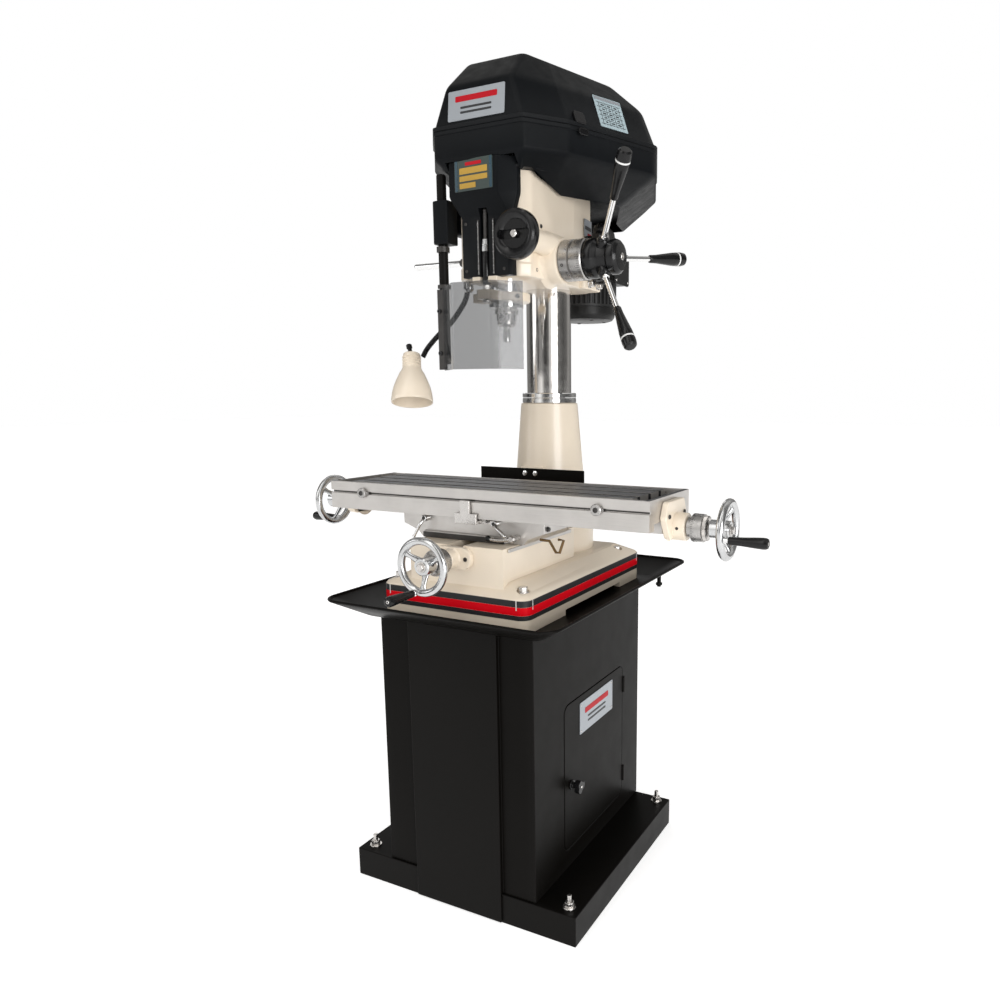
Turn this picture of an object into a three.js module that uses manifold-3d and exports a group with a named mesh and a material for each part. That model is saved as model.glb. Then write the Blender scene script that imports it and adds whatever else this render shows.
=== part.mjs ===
// Round-column milling machine on a cabinet stand.
// Millimetres, +Z up, operator stands on the -Y side, floor at z = 0, column on x = 0.
import * as THREE from "three";
import { mergeVertices } from "three/addons/utils/BufferGeometryUtils.js";
import Module from "manifold-3d";

// ---------- driving dimensions ----------
const GAP = 0.4; // running clearance between neighbouring pieces
const PLINTH = { w: 620, d: 580, h: 72, wall: 5 };
const CABINET = { w: 414, front: -285, back: 292, top: 697, wall: 4 };
const PANEL = { w: 240, front: -296 };
const DOOR = { front: -145.5, back: 183.5, low: 120.5, high: 487.5, r: 20, gap: 1.5 };
const TRAY = { w: 476, front: -310, back: 354, flare: 62, low: 697.3, high: 740, sheet: 3 };
const BASE = { w: 390, front: -289, back: 324, low: 700.7, edge: 773, deck: 800, r: 24 };
const WAY = { w: 250, front: -268, back: 62, top: 876 };
const COLUMN = { y: 165, r: 57.5, low: 1182, high: 1690 };
const CONE = { rTop: 73.5, rLow: 98, low: 876.4, top: 1181.6, flange: 112 };
const SADDLE = { w: 384, front: -205, back: -10, low: 876.4, top: 935 };
const TABLE = { x: 52, y: -152, length: 820, width: 228, top: 1001, under: 938 };
const X_SCREW = { z: 937, r: 10, left: -470, right: 592 };
const Y_SCREW = { z: 849, r: 10, front: -388, back: 58 };
const WHEEL = { r: 64, rim: 8.5, hub: 19, pitch: 57 };
const SPINDLE = { y: -38 };
const HEAD = { low: 1465, high: 1690, bore: 58 };
const QUILL = { r: 38, low: 1404, high: 1640 };
const FEED = { y: 6, z: 1508, lever: 255, cone: 28.4, phase: 5.3 };
const FINE = { x: 108, z: 1541, r: 52.5, front: -178, back: -153 };
const GUARD = { y: 194, low: 1660, edge: 1718, split: 1778, wall: 4 };
const IDLER = { x: 165, y: 165 };
const MOTOR = { y: 375, r: 87, low: 1405, high: 1655 };
const BELT = { front: 1840, rear: 1808 };
const POST = { x: -126, y: -108, r: 11 };
const SHIELD = { low: 1260, high: 1447, sheet: 3 };
const CRANK = { y: 128, z: 1560, arm: 72 };

// ---------- solids ----------
const wasm = await Module();
wasm.setup();

/** Turns a closed geometry into a solid that can be joined and cut. */
function solid(geometry) {
  const bare = new THREE.BufferGeometry();
  bare.setAttribute("position", geometry.getAttribute("position"));
  if (geometry.index) bare.setIndex(geometry.index);
  const merged = mergeVertices(bare, 1e-3);
  const index = merged.index.array;
  const position = merged.getAttribute("position");
  const faces = [];
  for (let i = 0; i < index.length; i += 3) {
    const [a, b, c] = [index[i], index[i + 1], index[i + 2]];
    if (a !== b && b !== c && c !== a) faces.push(a, b, c);
  }
  const volume = (order) => {
    const p = (n) => new THREE.Vector3().fromBufferAttribute(position, n);
    let sum = 0;
    for (let i = 0; i < order.length; i += 3) {
      sum += p(order[i]).dot(p(order[i + 1]).cross(p(order[i + 2])));
    }
    return sum / 6;
  };
  if (volume(faces) < 0) faces.reverse();
  const mesh = new wasm.Mesh({
    numProp: 3,
    vertProperties: Float32Array.from(position.array),
    triVerts: Uint32Array.from(faces),
  });
  return new wasm.Manifold(mesh);
}

const join = (...parts) => parts.reduce((a, b) => a.add(b));
const cut = (body, ...tools) => tools.reduce((a, b) => a.subtract(b), body);

function box(x0, x1, y0, y1, z0, z1) {
  const g = new THREE.BoxGeometry(x1 - x0, y1 - y0, z1 - z0);
  g.translate((x0 + x1) / 2, (y0 + y1) / 2, (z0 + z1) / 2);
  return solid(g);
}

/** Points a geometry built about +Y along the named axis. */
function aim(g, axis) {
  if (axis === "z") g.rotateX(Math.PI / 2);
  if (axis === "x") g.rotateZ(-Math.PI / 2);
  return g;
}

/** Cylinder from a to b along an axis, centred at (c1, c2) in the other two coordinates. */
function rod(axis, a, b, c1, c2, r, seg = 18, r2 = r) {
  const g = aim(new THREE.CylinderGeometry(r2, r, b - a, seg), axis);
  const mid = (a + b) / 2;
  if (axis === "x") g.translate(mid, c1, c2);
  if (axis === "y") g.translate(c1, mid, c2);
  if (axis === "z") g.rotateX(Math.PI).translate(c1, c2, mid);
  return solid(g);
}

/** Turned shape: profile of [radius, height] pairs along an axis through (x, y, z). */
function turned(axis, profile, x, y, z, seg = 18) {
  const points = profile.map(([r, h]) => new THREE.Vector2(r, h));
  const g = new THREE.LatheGeometry(points, seg);
  aim(g, axis);
  g.translate(x, y, z);
  return solid(g);
}

/** Rounded rectangle outline, counter-clockwise. */
function rounded(x0, x1, y0, y1, r, seg = 5) {
  const out = [];
  const corner = (cx, cy, from) => {
    for (let i = 0; i <= seg; i++) {
      const a = from + (i / seg) * (Math.PI / 2);
      out.push([cx + r * Math.cos(a), cy + r * Math.sin(a)]);
    }
  };
  corner(x1 - r, y1 - r, 0);
  corner(x0 + r, y1 - r, Math.PI / 2);
  corner(x0 + r, y0 + r, Math.PI);
  corner(x1 - r, y0 + r, 1.5 * Math.PI);
  return out;
}

/** Stacks convex outlines of equal length, each [z, points], into one closed solid. */
function loft(levels) {
  const n = levels[0][1].length;
  const position = [];
  for (const [z, points] of levels) for (const [x, y] of points) position.push(x, y, z);
  const index = [];
  for (let k = 0; k + 1 < levels.length; k++) {
    for (let i = 0; i < n; i++) {
      const a = k * n + i;
      const b = k * n + ((i + 1) % n);
      index.push(a, b, b + n, a, b + n, a + n);
    }
  }
  const top = (levels.length - 1) * n;
  for (let i = 1; i + 1 < n; i++) {
    index.push(0, i + 1, i);
    index.push(top, top + i, top + i + 1);
  }
  const g = new THREE.BufferGeometry();
  g.setAttribute("position", new THREE.Float32BufferAttribute(position, 3));
  g.setIndex(index);
  return solid(g);
}

/** Straight extrusion of any simple outline between two positions along an axis. */
function prism(axis, outline, a, b) {
  const shape = new THREE.Shape(outline.map(([u, v]) => new THREE.Vector2(u, v)));
  const g = new THREE.ExtrudeGeometry(shape, { depth: b - a, bevelEnabled: false });
  g.translate(0, 0, a);
  const m = new THREE.Matrix4();
  if (axis === "x") m.set(0, 0, 1, 0, 1, 0, 0, 0, 0, 1, 0, 0, 0, 0, 0, 1);
  if (axis === "y") m.set(1, 0, 0, 0, 0, 0, 1, 0, 0, 1, 0, 0, 0, 0, 0, 1);
  g.applyMatrix4(m);
  return solid(g);
}

/** Round bar along a smooth path through points. */
function bar(points, r, steps = 16, sides = 10) {
  const path = new THREE.CatmullRomCurve3(points.map((p) => new THREE.Vector3(...p)));
  const shape = new THREE.Shape();
  shape.absarc(0, 0, r, 0, 2 * Math.PI);
  const options = { steps, extrudePath: path, curveSegments: sides };
  return solid(new THREE.ExtrudeGeometry(shape, options));
}

/** Turned shape along the line from a point in a direction. */
function turnedAlong(profile, from, direction, seg = 16) {
  const g = new THREE.LatheGeometry(profile.map(([r, h]) => new THREE.Vector2(r, h)), seg);
  const up = new THREE.Vector3(0, 1, 0);
  const q = new THREE.Quaternion().setFromUnitVectors(up, new THREE.Vector3(...direction).normalize());
  g.applyQuaternion(q);
  g.translate(...from);
  return solid(g);
}

// ---------- the group ----------
const group = new THREE.Group();
group.name = "milling_machine_on_stand";

function node(name, body) {
  const mesh = body.getMesh();
  const g = new THREE.BufferGeometry();
  g.setAttribute("position", new THREE.BufferAttribute(mesh.vertProperties, 3));
  g.setIndex(new THREE.BufferAttribute(mesh.triVerts, 1));
  g.computeVertexNormals();
  const item = new THREE.Mesh(g, new THREE.MeshStandardMaterial());
  item.name = name;
  group.add(item);
}

// ---------- stand ----------
function plinth() {
  const { w, d, h, wall } = PLINTH;
  const shell = box(-w / 2, w / 2, -d / 2, d / 2, 0, h);
  const inside = box(-w / 2 + wall, w / 2 - wall, -d / 2 + wall, d / 2 - wall, wall, h - wall);
  return cut(shell, inside, box(-190, 190, -265, 265, h - wall - 1, h + 1));
}

function cabinet() {
  const { w, front, back, top, wall } = CABINET;
  const low = PLINTH.h + GAP;
  const shell = join(
    box(-w / 2, w / 2, front, back, low, top),
    box(-PANEL.w / 2, PANEL.w / 2, PANEL.front, front + 1, low, top),
    box(-PANEL.w / 2, PANEL.w / 2, PANEL.front, -PLINTH.d / 2 - GAP, 3, low + 1),
  );
  const inside = box(-w / 2 + wall, w / 2 - wall, front + wall, back - wall, low - 1, top - wall);
  const g = DOOR.gap;
  const opening = rounded(DOOR.front - g, DOOR.back + g, DOOR.low - g, DOOR.high + g, DOOR.r + g);
  return cut(shell, inside, prism("x", opening, w / 2 - wall - 2, w / 2 + 2));
}

function doorPanel() {
  const outline = rounded(DOOR.front, DOOR.back, DOOR.low, DOOR.high, DOOR.r);
  return prism("x", outline, CABINET.w / 2 - 3, CABINET.w / 2 + 0.6);
}

function doorKnob() {
  const x = CABINET.w / 2 + 1;
  const profile = [[0, 0], [10, 0], [10, 4], [6, 5], [6, 12], [15, 14], [16, 22], [12, 27], [0, 27]];
  return turned("x", profile, x, -112, 281, 14);
}

function chipTray() {
  const { w, front, back, flare, low, high, sheet } = TRAY;
  const h = w / 2;
  const rect = (grow, r) => rounded(-h - grow, h + grow, front - grow, back + grow, r, 4);
  const outer = loft([[low, rect(0, 26)], [high - 5, rect(flare, 40)], [high, rect(flare + 3, 42)]]);
  const t = sheet;
  const inner = loft([
    [low + t, rect(-2, 26)],
    [high - 5 + t, rect(flare - 2, 40)],
    [high + 1, rect(flare - 0.5, 41)],
  ]);
  const drain = rod("z", low - 20, low + 9, h + 14, back - 24, 5.5, 16);
  return join(cut(outer, inner), drain);
}

function machineBase() {
  const { w, front, back, low, edge, deck, r } = BASE;
  const h = w / 2;
  const rect = (inset, rr) => rounded(-h + inset, h - inset, front + inset, back - inset, rr, 5);
  const skirt = loft([
    [low, rect(0, r)],
    [edge, rect(0, r)],
    [edge + 5, rect(3, r)],
    [deck, rect(44, r)],
  ]);
  const way = box(-WAY.w / 2, WAY.w / 2, WAY.front, WAY.back, edge, WAY.top);
  const pad = rod("z", edge, WAY.top, 0, COLUMN.y, CONE.flange + 4, 28);
  const hollow = box(-h + 16, h - 16, front + 16, back - 16, low - 1, edge - 14);
  const relief = box(-h - 1, h + 1, -114, 190, low - 1, low + 13);
  const channel = box(-22, 22, WAY.front - 1, WAY.back - 4, Y_SCREW.z - 21, WAY.top + 1);
  const pockets = [];
  for (const x of [-168, 168]) {
    for (const y of [-256, 250]) pockets.push(rod("z", 784, 830, x * (y > 0 ? 0.94 : 1), y, 15, 14));
  }
  return cut(join(skirt, way, pad), hollow, relief, channel, ...pockets);
}

function columnFlange() {
  const { rTop, rLow, low, top, flange } = CONE;
  const profile = [[0, low], [flange, low], [flange, low + 16], [rLow + 4, low + 22]];
  profile.push([rLow - 1, low + 34], [rTop + 1, top - 8], [rTop, top], [0, top]);
  const cone = turned("z", profile, 0, COLUMN.y, 0, 36);
  const boss = box(-34, 34, 68.8, 110, 990, 1022);
  return join(cone, boss);
}

function wayGuard() {
  const flat = box(-152, 152, 64, 68.4, 946, 1018);
  const bend = box(-152, 152, 60, 68.4, 942, 947);
  return join(flat, bend);
}

function columnCollar() {
  const z = COLUMN.low;
  const outer = [[0, z], [69, z], [70, z + 2], [70, z + 24], [68, z + 26], [0, z + 26]];
  const ring = turned("z", outer, 0, COLUMN.y, 0, 36);
  return cut(ring, rod("z", z - 1, z + 28, 0, COLUMN.y, COLUMN.r + GAP, 36));
}

function column() {
  const tube = rod("z", COLUMN.low, COLUMN.high, 0, COLUMN.y, COLUMN.r, 36);
  return cut(tube, rod("z", COLUMN.low + 10, COLUMN.high + 1, 0, COLUMN.y, COLUMN.r - 12, 22));
}

function columnRack() {
  const back = COLUMN.y + COLUMN.r + 0.6;
  const teeth = [];
  const pitch = 18;
  const low = 1210;
  for (let z = low; z + pitch <= COLUMN.high - 6; z += pitch) {
    teeth.push([back + 9, z], [back + 9, z + 5], [back + 13, z + 8], [back + 13, z + 14]);
  }
  const high = COLUMN.high - 6;
  const outline = [[back, low], ...teeth, [back + 9, high], [back, high]];
  return prism("x", outline, -14, 14);
}

// ---------- cross feed ----------
function crossScrewBracket() {
  const face = WAY.front - GAP;
  const flange = prism("y", rounded(-50, 50, Y_SCREW.z - 25, Y_SCREW.z + 25, 24, 6), face - 14, face);
  const nose = rod("y", face - 40, face - 13, 0, Y_SCREW.z, 22, 20);
  const bore = rod("y", face - 41, face + 1, 0, Y_SCREW.z, Y_SCREW.r + GAP, 20);
  return cut(join(flange, nose), bore);
}

function crossLeadscrew() {
  const { front, back, z, r } = Y_SCREW;
  return rod("y", front, back, 0, z, r, 16);
}

/** Graduated sleeve with a knurled lock ring, bored for its screw. */
function dial(axis, start, c1, c2, sign) {
  const p = [[0, 0], [21, 0], [21, 8], [29, 11], [29, 34], [26, 36], [26, 38], [20, 40], [20, 44], [0, 44]];
  const turnedDial = turned(axis, p.map(([r, h]) => [r, sign * h]), ...start, 22);
  const [a, b] = [-60, 60];
  const at = axis === "x" ? start[0] : start[1];
  return cut(turnedDial, rod(axis, at + a, at + b, c1, c2, X_SCREW.r + GAP, 16));
}

/** Spoked handwheel in the plane across the axis, hub bored for its screw. */
function handwheel(axis, at, c1, c2, spin, hubFrom, hubTo) {
  const { r, rim, hub } = WHEEL;
  const section = [];
  for (let i = 0; i < 6; i++) {
    const a = (i / 6) * 2 * Math.PI;
    section.push([r - rim + rim * Math.cos(a), rim * 0.95 * Math.sin(a)]);
  }
  section.push(section[0]);
  const origin = axis === "x" ? [at, c1, c2] : [c1, at, c2];
  const ring = turned(axis, section, ...origin, 20);
  const centre = rod(axis, Math.min(hubFrom, hubTo), Math.max(hubFrom, hubTo), c1, c2, hub, 20);
  const spokes = [];
  for (let i = 0; i < 3; i++) {
    const a = spin + (i / 3) * 2 * Math.PI;
    const [u, v] = [Math.cos(a), Math.sin(a)];
    const [p, q] = [hub - 3, r - rim];
    const mid = (hubFrom + hubTo) / 2;
    const near = axis === "x" ? [mid, c1 + p * u, c2 + p * v] : [c1 + p * u, mid, c2 + p * v];
    const far = axis === "x" ? [at, c1 + q * u, c2 + q * v] : [c1 + q * u, at, c2 + q * v];
    spokes.push(bar([near, far], 6.5, 1, 4));
  }
  const bore = rod(axis, at - 90, at + 90, c1, c2, X_SCREW.r + GAP, 16);
  return cut(join(ring, centre, ...spokes), bore);
}

/** Turned handle standing off a wheel rim along an axis. */
function grip(axis, origin, sign) {
  const p = [[0, 0], [5, 0], [5, 8], [8, 10], [8.5, 20], [10.5, 55], [11.5, 80], [9.5, 87], [0, 88]];
  return turned(axis, p.map(([r, h]) => [r, sign * h]), ...origin, 18);
}

function crossDial() {
  const y = WAY.front - 41 - GAP;
  return dial("y", [0, y, Y_SCREW.z], 0, Y_SCREW.z, -1);
}

// ---------- saddle and its locks ----------
function saddle() {
  const { w, front, back, low, top } = SADDLE;
  const h = w / 2;
  const outline = [
    [-h, top], [-h, 904], [-150, 888], [-140, low], [140, low], [150, 888], [h, 904], [h, top],
  ];
  const block = prism("y", outline, front, back);
  const ways = box(-h - 1, h + 1, TABLE.y - 48, TABLE.y + 48, top - 10, top + 1);
  const trough = box(-h - 1, h + 1, TABLE.y - 14, TABLE.y + 14, X_SCREW.z - 15, top + 1);
  const lip = box(-128, 96, front - 9, front + 1, low, low + 15);
  return cut(join(block, lip), ways, trough);
}

function tableStopBracket() {
  const y = SADDLE.front - GAP;
  const plate = box(6, 62, y - 8, y, 918, 934);
  const arm = box(6, 62, -275, y - 7, 927, 934);
  const face = box(6, 62, -275, -268.5, 927, 950);
  const tab = box(20, 45, -275, -268.5, 949, 978);
  return join(plate, arm, face, tab);
}

/** Small clamp lever: round boss on its screw with a bent arm. */
function lockLever(x, z, tipX, tipZ) {
  const y = SADDLE.front - 1;
  const boss = rod("y", y - 20, y, x, z, 8, 16);
  const arm = bar([[x, y - 14, z], [(x + tipX) / 2, y - 24, (z + tipZ) / 2], [tipX, y - 34, tipZ]], 4, 4, 3);
  return join(boss, arm);
}

function saddleLockLever() {
  const [x, y, z] = [125, SADDLE.front - 1, 893];
  const boss = rod("y", y - 30, y, x, z, 7, 16);
  const arm = bar([[x, y - 24, z], [x - 30, y - 26, z - 6], [x - 60, y - 26, z - 4]], 4, 4, 3);
  return join(boss, arm);
}

// ---------- table ----------
function table() {
  const { x, y, length, width, top, under } = TABLE;
  const [x0, x1] = [x - length / 2, x + length / 2];
  const [y0, y1] = [y - width / 2, y + width / 2];
  const plate = box(x0, x1, y0, y1, 952, top);
  const edges = join(box(x0, x1, y0, y0 + 26, under, 953), box(x0, x1, y1 - 26, y1, under, 953));
  const slide = box(x0, x1, y - 47, y + 47, SADDLE.top - 9, 953);
  const tunnel = box(x0 - 1, x1 + 1, y - 12.5, y + 12.5, SADDLE.top - 11, X_SCREW.z + 13);
  const slots = [];
  for (const dy of [-58, 0, 58]) {
    slots.push(box(x0 + 46, x1 - 46, y + dy - 7, y + dy + 7, top - 22, top + 1));
    slots.push(box(x0 + 46, x1 - 46, y + dy - 12, y + dy + 12, top - 22, top - 13));
  }
  for (const dy of [-96, 96]) {
    slots.push(box(x0 + 46, x1 - 46, y + dy - 6, y + dy + 6, top - 8, top + 1));
  }
  for (const [a, b] of [[x0 + 10, x0 + 46.5], [x1 - 46.5, x1 - 10]]) {
    slots.push(box(a, b, y0 + 12, y1 - 12, top - 12, top + 1));
  }
  const stopSlot = box(x0 - 1, x1 + 1, y0 - 1, y0 + 7, 974, 981);
  return cut(join(plate, edges, slide), tunnel, stopSlot, ...slots);
}

function endBracket(side) {
  const edge = TABLE.x + (side * TABLE.length) / 2 + side * GAP;
  const far = edge + side * 40;
  const [a, b] = [Math.min(edge, far), Math.max(edge, far)];
  const plateFar = edge + side * 14;
  const [p, q] = [Math.min(edge, plateFar), Math.max(edge, plateFar)];
  const outline = [
    [TABLE.y - 46, 992], [TABLE.y - 62, 960], [TABLE.y - 34, 912], [TABLE.y + 34, 912],
    [TABLE.y + 62, 960], [TABLE.y + 46, 992],
  ];
  const plate = prism("x", outline.reverse(), p, q);
  const nose = rod("x", a, b, TABLE.y, X_SCREW.z, 29, 22);
  const bore = rod("x", a - 1, b + 1, TABLE.y, X_SCREW.z, X_SCREW.r + GAP, 16);
  return cut(join(plate, nose), bore);
}

function tableLeadscrew() {
  return rod("x", X_SCREW.left, X_SCREW.right, TABLE.y, X_SCREW.z, X_SCREW.r, 16);
}

// ---------- head ----------
function headCasting() {
  const { low, high, bore } = HEAD;
  const outline = [
    [-98, -80], [-74, -104], [74, -104], [98, -80], [102, 116], [88, 238], [64, 256],
    [-64, 256], [-88, 238], [-102, 116],
  ];
  const block = prism("z", outline, low, high);
  const hubBoss = rod("x", 80, 135.3, FEED.y, FEED.z, 52, 26);
  const worm = rod("y", FINE.back + GAP + 6, FEED.y, FINE.x, FINE.z, 24, 20);
  const ears = join(box(70, 112, 150, 246, low, low + 30), box(-112, -70, 150, 246, low, low + 30));
  const crankBoss = rod("x", -124, -90, CRANK.y, CRANK.z, 24, 16);
  const depthLug = box(-33, 34, -131, -80, low - 13, low + 0.5);
  const body = join(block, hubBoss, worm, ears, crankBoss, depthLug);
  const columnBore = rod("z", low - 1, high + 1, 0, COLUMN.y, bore, 36);
  const rackSlot = box(-16, 16, COLUMN.y, COLUMN.y + COLUMN.r + 16, low - 1, high + 1);
  const quillBore = rod("z", low - 1, QUILL.high + 12, 0, SPINDLE.y, QUILL.r + GAP, 28);
  const spindleBore = rod("z", QUILL.high, high + 1, 0, SPINDLE.y, 24, 20);
  const hubBore = rod("x", 60, 140, FEED.y, FEED.z, 16.4, 16);
  const crankBore = rod("x", -130, -66, CRANK.y, CRANK.z, 9.4, 14);
  const wormBore = rod("y", -160, -60, FINE.x, FINE.z, 8.4, 14);
  const depthSlot = box(-11, 11, -132, -104, low - 14, low + 1.2);
  return cut(body, columnBore, rackSlot, quillBore, spindleBore, hubBore, crankBore, wormBore)
    .subtract(depthSlot);
}

function frontCover() {
  const y = -104 - GAP;
  const upper = [[-86, y], [-86, -136], [48, -144], [84, -118], [84, y]];
  const box1 = prism("z", upper, 1640, 1712);
  const slope = loft([
    [1596, [[-62, y], [-62, -124], [62, -124], [70, -118], [70, y]]],
    [1641, [[-86, y], [-86, -136], [48, -144], [84, -118], [84, y]]],
  ]);
  const lower = prism("z", [[-62, y], [-62, -124], [62, -124], [70, -118], [70, y]], 1466, 1597);
  const slot = box(-11, 11, -131, -109, 1400, 1618);
  const wormClear = rod("y", -160, -100, FINE.x, FINE.z, 26, 20);
  return cut(join(box1, slope, lower), slot, wormClear);
}

function quill() {
  const { r, low, high } = QUILL;
  const body = rod("z", low, high, 0, SPINDLE.y, r, 28);
  const collar = rod("z", low, low + 10, 0, SPINDLE.y, r + 2, 28);
  const bore = rod("z", low - 1, high + 1, 0, SPINDLE.y, 20.4, 20);
  return cut(join(body, collar), bore);
}

function depthStopArm() {
  const y = SPINDLE.y;
  const z = [1417, 1437];
  const ring = rod("z", ...z, 0, y, 56, 26);
  const nose = box(-20, 20, -136, y - 30, ...z);
  const left = box(-74, -30, y - 34, y + 2, ...z);
  const bore = rod("z", z[0] - 1, z[1] + 1, 0, y, QUILL.r + GAP, 28);
  const rodBore = rod("z", z[0] - 1, z[1] + 1, 0, -120, 5.4, 14);
  return cut(join(ring, nose, left), bore, rodBore);
}

function depthRod() {
  const screw = rod("z", 1410, 1612, 0, -120, 5, 16);
  const foot = rod("z", 1409, 1416.6, 0, -120, 9, 6);
  const nuts = rod("z", 1520, 1546, 0, -120, 9.5, 12);
  const lock = rod("z", 1437.4, 1449, 0, -120, 9, 6);
  return join(screw, foot, nuts, lock);
}

function spindle() {
  const y = SPINDLE.y;
  const p = [
    [0, 1326], [9, 1326], [9, 1356], [14, 1358], [22, 1366], [22, 1388], [27, 1390], [27, 1402.6],
    [20, 1403], [20, 1734], [14, 1735], [14, 1928], [0, 1928],
  ];
  return turned("z", p, 0, y, 0, 20);
}

/** Stepped V pulley with one groove for each radius, from the bottom up. */
function stepPulley(x, y, low, radii) {
  const p = [[0, low]];
  let z = low;
  for (const r of radii) {
    p.push([r, z], [r - 8, z + 8], [r, z + 16]);
    z += 16;
  }
  p.push([0, z]);
  return turned("z", p, x, y, 0, 20);
}

/** Belt round two pulleys of given centre and radius. */
function belt(a, ra, b, rb, z) {
  const loop = (grow) => {
    const dir = Math.atan2(b[1] - a[1], b[0] - a[0]);
    const gap = Math.hypot(b[0] - a[0], b[1] - a[1]);
    const lean = Math.acos((ra - rb) / gap);
    const out = [];
    const arc = (c, r, from, to) => {
      for (let i = 0; i <= 14; i++) {
        const t = from + ((to - from) * i) / 14;
        out.push([c[0] + (r + grow) * Math.cos(t), c[1] + (r + grow) * Math.sin(t)]);
      }
    };
    arc(a, ra, dir + lean, dir + 2 * Math.PI - lean);
    arc(b, rb, dir - lean, dir + lean);
    return out;
  };
  const outer = prism("z", loop(6.5), z - 3.5, z + 3.5);
  return cut(outer, prism("z", loop(0), z - 5, z + 5));
}

function spindlePulley() {
  const wheel = stepPulley(0, SPINDLE.y, 1800, [44, 52, 64, 76]);
  const sleeve = rod("z", 1738, 1801, 0, SPINDLE.y, 22, 16);
  return cut(join(wheel, sleeve), rod("z", 1737, 1900, 0, SPINDLE.y, 14.4, 16));
}

function idlerPulley() {
  const wheel = stepPulley(IDLER.x, IDLER.y, 1800, [70, 60, 50, 42]);
  return join(wheel, rod("z", 1716, 1801, IDLER.x, IDLER.y, 11, 14));
}

function motor() {
  const { y, r, low, high } = MOTOR;
  const p = [[0, low], [r - 14, low], [r - 4, low + 8], [r - 4, low + 34], [r, low + 36]];
  p.push([r, high - 34], [r - 6, high - 24], [r - 6, high - 6], [r - 16, high], [0, high]);
  const can = turned("z", p, 0, y, 0, 28);
  const mount = box(-58, 58, 256.5, y - 40, 1520, 1610);
  const terminal = box(r - 20, r + 26, y - 45, y + 45, 1500, 1580);
  const body = join(can, mount, terminal);
  return cut(body, rod("z", high - 30, high + 1, 0, y, 12.4, 14));
}

function motorPulley() {
  const wheel = stepPulley(0, MOTOR.y, 1800, [44, 52, 64, 76]);
  return join(wheel, rod("z", MOTOR.high - 28, 1801, 0, MOTOR.y, 12, 14));
}

/** Plan of the belt guard, symmetric front to back, grown or shrunk by half widths. */
function guardPlan(front, mid, wide, half) {
  const y = GUARD.y;
  const right = [[front, y - half], [mid[0], y - mid[1]], [wide, y], [mid[0], y + mid[1]], [front, y + half]];
  const left = right.map(([x, v]) => [-x, v]).reverse();
  return [...right, ...left];
}

function beltGuardPan() {
  const { low, edge, split, wall } = GUARD;
  const shell = (t, below, above) => loft([
    [low - below, guardPlan(70 - t, [96 - t, 190 - t], 190 - t, 290 - t)],
    [low + 8, guardPlan(80 - t, [108 - t, 196 - t], 200 - t, 300 - t)],
    [edge, guardPlan(114 - t, [180 - t, 252 - t], 281 - t, 339 - t)],
    [split + above, guardPlan(114 - t, [180 - t, 252 - t], 281 - t, 339 - t)],
  ]);
  const deckPlan = guardPlan(92, [138, 218], 233, 314);
  const deckLow = HEAD.high + GAP;
  const deck = loft([[deckLow, deckPlan], [deckLow + 5, deckPlan]]);
  const idlerPost = rod("z", deckLow + 4, 1741, IDLER.x, IDLER.y, 16, 14);
  const headClear = box(-108, 108, -112, 262, low - 2, deckLow);
  const coverClear = box(-90, 90, -150, -100, low - 2, 1712.4);
  const columnHole = rod("z", low, split, 0, COLUMN.y, 62, 28);
  const rackHole = box(-18, 18, COLUMN.y, COLUMN.y + COLUMN.r + 18, low, split);
  const spindleHole = rod("z", low, split, 0, SPINDLE.y, 26, 20);
  const motorHole = rod("z", low, split, 0, MOTOR.y, 18, 20);
  const idlerBore = rod("z", 1715, 1742, IDLER.x, IDLER.y, 11.4, 14);
  const body = join(cut(shell(0, 0, 0), shell(wall + 1, 1, 1)), deck, idlerPost);
  return cut(body, headClear, coverClear, columnHole, rackHole, spindleHole, motorHole, idlerBore);
}

function beltGuardLid() {
  const z = GUARD.split + GAP;
  const t = GUARD.wall;
  const levels = (inset, dz, base) => [
    [base, guardPlan(114 - inset, [180 - inset, 252 - inset], 281 - inset, 339 - inset)],
    [1868 + dz, guardPlan(84 - inset, [140 - inset, 240 - inset], 243 - inset, 331 - inset)],
    [1938 + dz, guardPlan(74 - inset, [96 - inset, 196 - inset], 160 - inset, 262 - inset)],
  ];
  const inner = levels(t, -t * 0.6, z - 1);
  inner[0][1] = guardPlan(114 - t, [180 - t, 252 - t], 281 - t, 339 - t);
  return cut(loft(levels(0, 0, z)), loft(inner));
}

function feedDialRing() {
  const p = [[0, 136], [43, 136], [46, 139], [46, 160], [41, 162], [41, 166], [46, 168]];
  p.push([46, 193], [44, 195], [0, 195]);
  const ring = turned("x", p, 0, FEED.y, FEED.z, 28);
  return cut(ring, rod("x", 130, 200, FEED.y, FEED.z, 16.4, 16));
}

function leverDirection(k) {
  const a = ((FEED.phase + 120 * k) * Math.PI) / 180;
  const c = (FEED.cone * Math.PI) / 180;
  return [Math.sin(c), Math.cos(c) * Math.cos(a), Math.cos(c) * Math.sin(a)];
}

function feedHub() {
  const p = [[0, 62], [16, 62], [16, 195.6], [40, 196], [44, 200], [44, 216], [34, 226], [34, 250]];
  p.push([38, 254], [38, 268], [32, 276], [0, 278]);
  const body = turned("x", p, 0, FEED.y, FEED.z, 26);
  const bosses = [0, 1, 2].map((k) => {
    const from = new THREE.Vector3(221, FEED.y, FEED.z);
    return turnedAlong([[0, 0], [15, 0], [15, 48], [12, 52], [0, 52]], from.toArray(), leverDirection(k), 16);
  });
  return join(body, ...bosses);
}

function feedLever(k) {
  const d = new THREE.Vector3(...leverDirection(k));
  const from = new THREE.Vector3(221, FEED.y, FEED.z).addScaledVector(d, 52.5);
  const p = [
    [0, 0], [6, 0], [6, 94], [9, 96], [10, 110], [15, 160], [16, 188], [14, 200], [0, 203],
  ];
  return turnedAlong(p, from.toArray(), d.toArray(), 18);
}

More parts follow.
